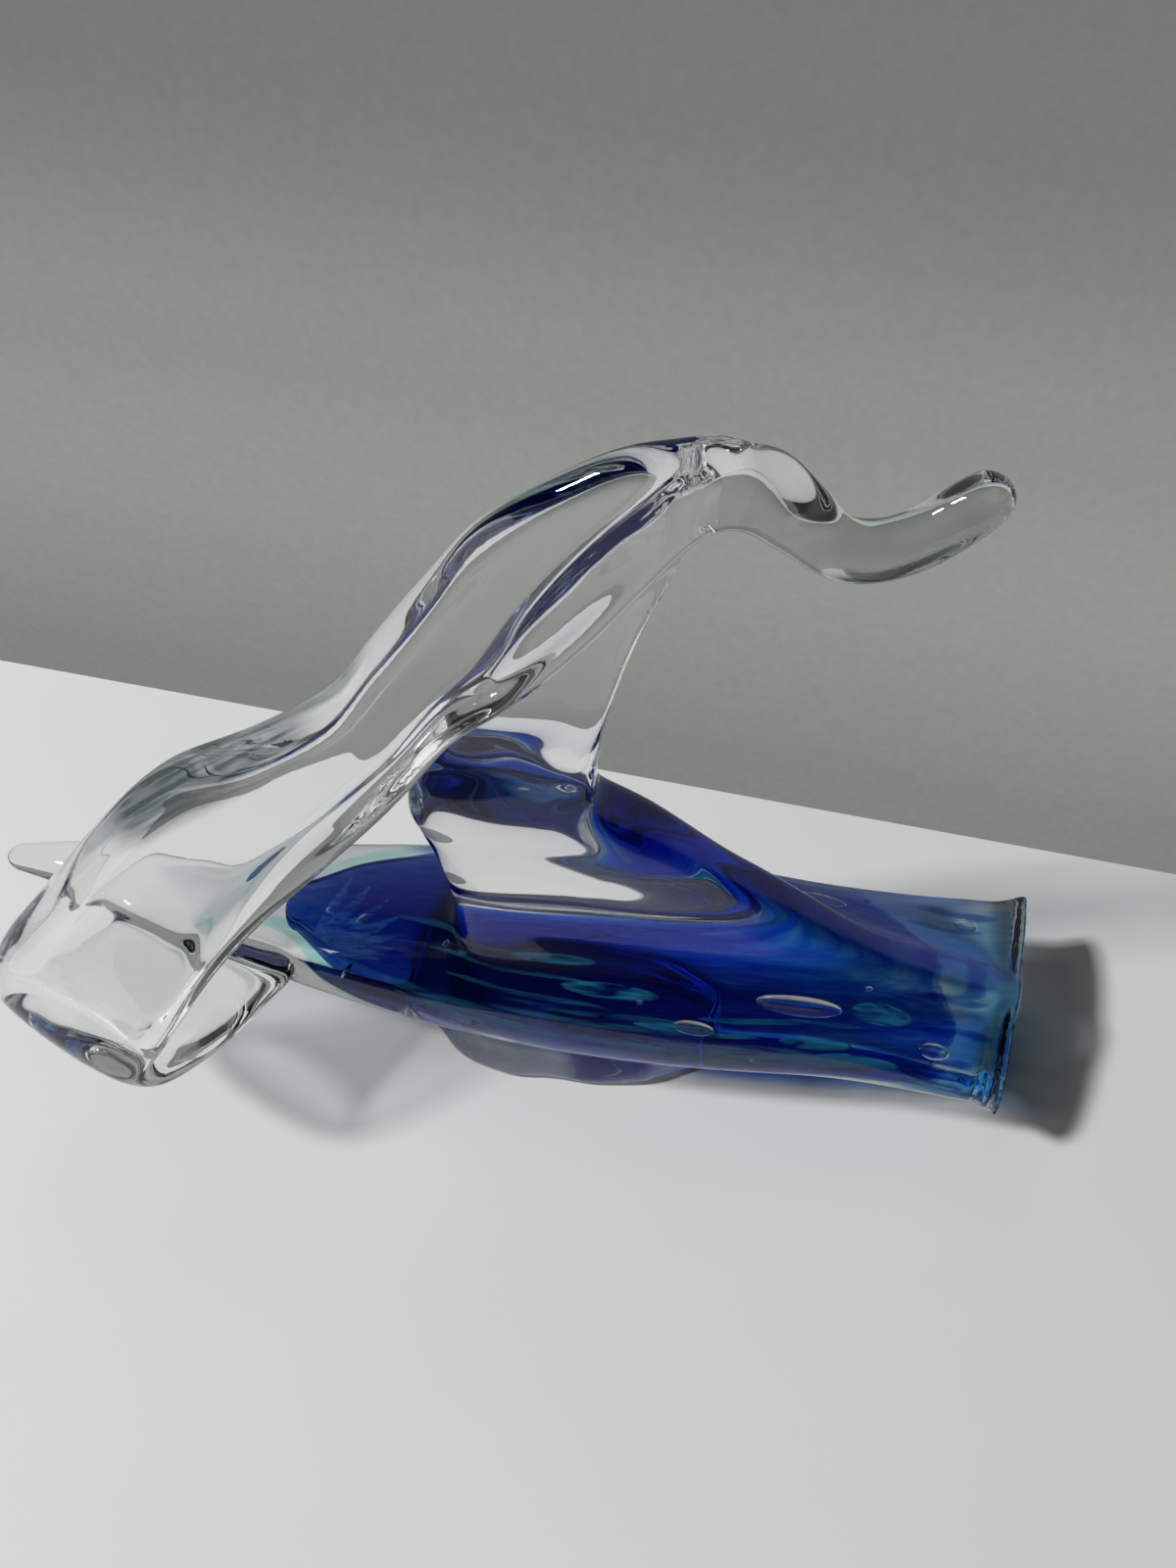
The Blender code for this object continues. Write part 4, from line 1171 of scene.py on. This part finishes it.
def build_glass():
    """Makes the five clear pieces, cut from one fused skin, and gives each its material."""
    points, quads, normals, owner = fused_glass()
    seam = seam_material()
    sail = ((0.965, 0.974, 0.972), (0.925, 0.945, 0.940), 0.00002)
    for index, (name, slot, node, material) in enumerate((
        ("hull_glass", "casing_glass", "hull_casing", clear_glass(
            "casing_clear", (0.985, 0.992, 0.990), (0.960, 0.978, 0.974), 0.00002, 1.0, (0.88, 0.90, 0.92),
            stern=0.25,
        )),
        ("foot_glass", "foot_glass", "foot_pad", clear_glass(
            # The foot's darker mottles are partly its own uneven tint and partly painted shade, standing in
            # for the shadow it refracts from under the boat
            "foot_clear", (0.90, 0.92, 0.92), (0.60, 0.63, 0.64), 0.00006, 2.0, (0.50, 0.51, 0.52),
            True, 95.0,
        )),
        ("mainsail_glass", "sail_glass", "mainsail", clear_glass(
            "mainsail_clear", *sail, 3.0, (0.85, 0.86, 0.87),
        )),
        ("jib_glass", "sail_glass", "jib", clear_glass(
            # Painted shade: dark streaky bands on the jib's shoulder and edges, standing in for shade that
            # it reflects and refracts
            "jib_clear", *sail, 4.0, (0.90, 0.91, 0.92), painted_bands=(
                ((-0.093, -0.027, 0.099), (-0.041, -0.014, 0.131), 0.0090, (0.03, 0.05, 0.055)),
                ((-0.018, -0.004, 0.164), (0.018, 0.000, 0.183), 0.0050, (0.10, 0.17, 0.17)),
                ((-0.020, -0.014, 0.123), (-0.048, -0.024, 0.092), 0.0036, (0.12, 0.17, 0.18)),
            ),
        )),
        ("pennant_glass", "sail_glass", "masthead_pennant", clear_glass(
            "pennant_clear", (0.92, 0.95, 0.94), (0.56, 0.61, 0.60), 0.00002, 5.0, (0.60, 0.62, 0.64),
            # Painted shade: dark streaky bands along the pennant, standing in for the dark room that it
            # refracts
            grain=70.0, painted_bands=(
                ((0.028, 0.005, 0.180), (0.050, 0.015, 0.170), 0.0052, (0.05, 0.09, 0.09)),
                ((0.058, 0.014, 0.166), (0.073, 0.010, 0.162), 0.0046, (0.06, 0.10, 0.09)),
            ),
        )),
    )):
        piece = share_out(points, quads[owner == index], normals, name, material, seam)
        settle(piece, slot, node)


def laid(name, bodies, material, slot, *nodes):
    """A piece made of several bodies, settled on the boat's body in place of its CAD nodes."""
    settle(mesh_object(name, *joined(bodies), material), slot, *nodes)


def build_colour():
    """Makes the cobalt cup and its heart, the colour laid on them, the wisps and the bubbles."""
    cobalt = coloured_glass(
        "cobalt", (0.02, 0.38, 0.80), 300.0, (0.16, 0.42, 0.88), (0.95, 0.97, 1.0), (0.6, 0.6, 0.6),
        (0.13, 0.22, 0.50),
    )
    laid("cobalt_core", [cup_shell()], cobalt, "cobalt_glass", "hull_core")

    slate = coloured_glass(
        "slate_heart", (0.07, 0.66, 0.90), 205.0, (0.52, 0.80, 0.98), (0.96, 0.98, 1.0),
        (0.50, 0.50, 0.52),
    )
    laid("core_heart_glass", [heart_shell()], slate, "heart_glass", "core_heart")

    wisps = []
    for start, angles, end, radius in WISPS:
        around = np.interp(np.linspace(0, 2, 5), (0, 1, 2), angles)
        path = core_path(np.linspace(start, end, 5), around, 0.0007)
        wisps.append(tube_shell(path, radius, (0.5, 1, 0.7, 1, 0.4), 2.6))
    wisp = coloured_glass("cobalt_wisp", (0.0, 0.34, 0.80), 1500.0, (0.8, 0.9, 1.0))
    laid("cobalt_wisps", wisps, wisp, "cobalt_glass")

    aqua = coloured_glass("aqua", (0.20, 0.86, 0.78), 150.0, (0.78, 0.95, 0.92))
    for name, node, spans in (
        ("aqua_port", "aqua_streak_port", (
            (0.215, 0.400, 196, 205, 0.0022), (0.240, 0.350, 165, 175, 0.0012),
        )),
        ("aqua_starboard", "aqua_streak_starboard", ((0.240, 0.400, 18, 8, 0.0014),)),
    ):
        bodies = []
        for start, end, angle_start, angle_end, radius in spans:
            around = np.linspace(angle_start, angle_end, 6)
            path = core_path(np.linspace(CORE_START, end, 6), around, 0.0005)
            lead = path[0] - np.array(((CORE_START - start) * HULL_LENGTH, 0.0, -0.001))
            bodies.append(tube_shell([lead] + path, radius, (0.35, 1, 1, 1, 1, 1, 0.3), 1.0))
        laid(name, bodies, aqua, "aqua_glass", node)

    petals = []
    hub = on_core(HUB_SHARE, HUB_ANGLE, 0.0003)
    for share, angle, radius in PETALS:
        mid = on_core(0.45 * HUB_SHARE + 0.55 * share, 0.45 * HUB_ANGLE + 0.55 * angle + 3, 0.0005)
        path = [hub, mid, on_core(share, angle, 0.0003)]
        petals.append(tube_shell(path, radius, (0.25, 1, 0.15), 1.9))
    petal = veil_glass("petal_blue", (0.01, 0.04, 0.26), (0.03, 0.13, 0.46), 0.70)
    laid("bow_fan", petals, petal, "cobalt_glass")

    threads = []
    for start, end, angle_start, angle_end, radius in THREADS:
        around = np.linspace(angle_start, angle_end, 6) + 0.8 * np.sin(np.arange(6) * 1.7 + start * 9)
        path = core_path(np.linspace(start, end, 6), around, 0.0003)
        threads.append(tube_shell(path, radius, (0.3, 1, 1, 1, 1, 0.3), 3.2))
    thread = veil_glass("teal_thread", (0.005, 0.06, 0.14), (0.02, 0.18, 0.30), 0.35)
    laid("teal_threads", threads, thread, "aqua_glass")

    lenses = [patch_shell(*place) for place in VEILS]
    veil = veil_glass("teal_veil", (0.008, 0.12, 0.34), (0.03, 0.28, 0.38), 0.60)
    laid("teal_veils", lenses, veil, "aqua_glass")

    rim = coloured_glass("rim_shade", (0.10, 0.22, 0.26), 1400.0, (0.35, 0.42, 0.46))
    laid("transom_rim", [rim_shell()], rim, "casing_glass")

    bubbles = []
    for x, y, lift, half_length, half_width, half_height, turn in BUBBLES:
        half_beam, half_depth, height = core_at((x - BOW_X) / HULL_LENGTH)
        off = (abs(y) / half_beam) ** CORE_SQUARENESS
        rise = half_depth * max(0.0, 1 - off) ** (1 / CORE_SQUARENESS)
        centre = np.array((x, y, height + rise + lift))
        bubbles.append(bubble_shell(centre, half_length, half_width, half_height, turn))
    air = clear_glass("air_bubble", WHITE, (0.98, 0.99, 0.99), 0.0, 6.0)
    laid("air_bubbles", bubbles, air, "casing_glass")


def plane(name, corners, material):
    """A flat face of the stage."""
    data = bpy.data.meshes.new(name)
    data.from_pydata(corners, [], [tuple(range(len(corners)))])
    data.materials.append(material)
    placed(name, data)


def build_stage():
    """The floor and the wall behind. The wall shows from its front, and neither shades nor lights. Its
    brightness is painted light: it glows by itself, pale by the floor and darker towards its top.
    """
    paper, tree, place, out = new_material("paper")
    colour = blend(tree, noise(tree, place, 14.0, 5.0), (0.80, 0.81, 0.825), (0.84, 0.85, 0.86))
    tree.links.new(add(tree, "BsdfDiffuse", {"Color": colour}), out["Surface"])
    plane("floor", [(-3, -3, 0), (3, -3, 0), (3, 3, 0), (-3, 3, 0)], paper)

    backdrop_glow, tree, place, out = new_material("wall_glow_and_tone")
    colour = blend(tree, noise(tree, place, 420.0, 4.0), (0.270, 0.272, 0.255), (0.320, 0.322, 0.302))
    # Painted light: the wall glows at the level of a lit wall, pale and bluish by the floor and darker
    # towards its top
    level = colour_ramp(tree, add(tree, "SeparateXYZ", {"Vector": place}, "Z"), (
        (0.0, (0.72, 0.77, 0.78)),
        (0.10, WHITE),
        *((spot, (value, value, value)) for spot, value in (
            (0.14, 0.92), (0.20, 0.66), (0.27, 0.50), (0.40, 0.14), (0.60, 0.10),
        )),
    ), "EASE")
    unlit = add(tree, "NewGeometry", {}, "Backfacing")
    for ray in ("Is Shadow Ray", "Is Diffuse Ray"):
        unlit = add(tree, "Math", {0: unlit, 1: add(tree, "LightPath", {}, ray)}, operation="MAXIMUM")
    mix = add(tree, "MixShader", {
        "Fac": unlit,
        1: add(tree, "Emission", {"Color": blend(tree, 1.0, colour, level, "MULTIPLY")}),
        2: add(tree, "BsdfTransparent", {}),
    })
    tree.links.new(mix, out["Surface"])
    left, right = Vector((-0.209, 0.101, 0.0)), Vector((0.161, 0.065, 0.0))
    along = (right - left).normalized()
    start, end = left - along * 0.26, right + along * 0.28
    up = Vector((0, 0, 0.60))
    plane("wall", [tuple(start), tuple(end), tuple(end + up), tuple(start + up)], backdrop_glow)


def build_light():
    """The window's light, a weak light from behind, and the room's dim glow."""
    for name, place, size, energy in (
        ("window_light", (-1.48, -0.56, 1.92), 0.24, 54.0),
        ("back_light", (-0.40, 0.90, 1.80), 0.60, 2.0),
    ):
        lamp = bpy.data.lights.new(name, "AREA")
        lamp.shape = "SQUARE"
        lamp.size = size
        lamp.energy = energy
        lamp.color = (1.0, 0.99, 0.98)
        light = placed(name, lamp)
        light.location = place
        light.rotation_euler = (-Vector(place)).to_track_quat("-Z", "Y").to_euler()

    world = bpy.data.worlds.new("room")
    bpy.context.scene.world = world
    world.use_nodes = True
    tree = world.node_tree
    tree.nodes.clear()
    out = tree.nodes.new("ShaderNodeOutputWorld")
    height = add(tree, "SeparateXYZ", {"Vector": add(tree, "TexCoord", {}, "Generated")}, "Z")
    share = add(tree, "Math", {0: height, 1: 0.5, 2: 0.5}, operation="MULTIPLY_ADD")
    sky = colour_ramp(tree, share, (
        (0.0, (0.08, 0.08, 0.08)),
        *((spot, (0.92 * value, 1.06 * value, 1.02 * value)) for spot, value in (
            (0.47, 0.10), (0.50, 0.15), (0.56, 0.07), (0.63, 0.022), (0.88, 0.020), (0.93, 0.028),
        )),
        (1.0, (0.032, 0.038, 0.038)),
    ))
    tree.links.new(add(tree, "Background", {"Color": sky}), out.inputs["Surface"])


def build_camera():
    """The camera of the photograph, from above the port bow."""
    azimuth, pitch, roll = math.radians(8.1), math.radians(51.8), math.radians(-0.37)
    forward = Vector((
        -math.sin(azimuth) * math.cos(pitch),
        math.cos(azimuth) * math.cos(pitch),
        -math.sin(pitch),
    ))
    right = Vector((math.cos(azimuth), math.sin(azimuth), 0.0))
    up = right.cross(forward)
    turned_right = right * math.cos(roll) + up * math.sin(roll)
    turned_up = up * math.cos(roll) - right * math.sin(roll)
    data = bpy.data.cameras.new("camera")
    data.lens = 29.25
    data.sensor_width = 36.0
    data.clip_start, data.clip_end = 0.01, 20.0
    camera = placed("camera", data)
    turn = Matrix((turned_right, turned_up, -forward)).transposed().to_4x4()
    camera.matrix_world = Matrix.Translation((0.0267, -0.1617, 0.3038)) @ turn
    bpy.context.scene.camera = camera


build_glass()
build_colour()
build_stage()
build_light()
build_camera()

scene = bpy.context.scene
scene.view_settings.view_transform = "Standard"
scene.cycles.max_bounces = 24
scene.cycles.caustics_refractive = False
scene.cycles.caustics_reflective = False
scene.cycles.transmission_bounces = 24
scene.cycles.glossy_bounces = 12
scene.cycles.transparent_max_bounces = 32
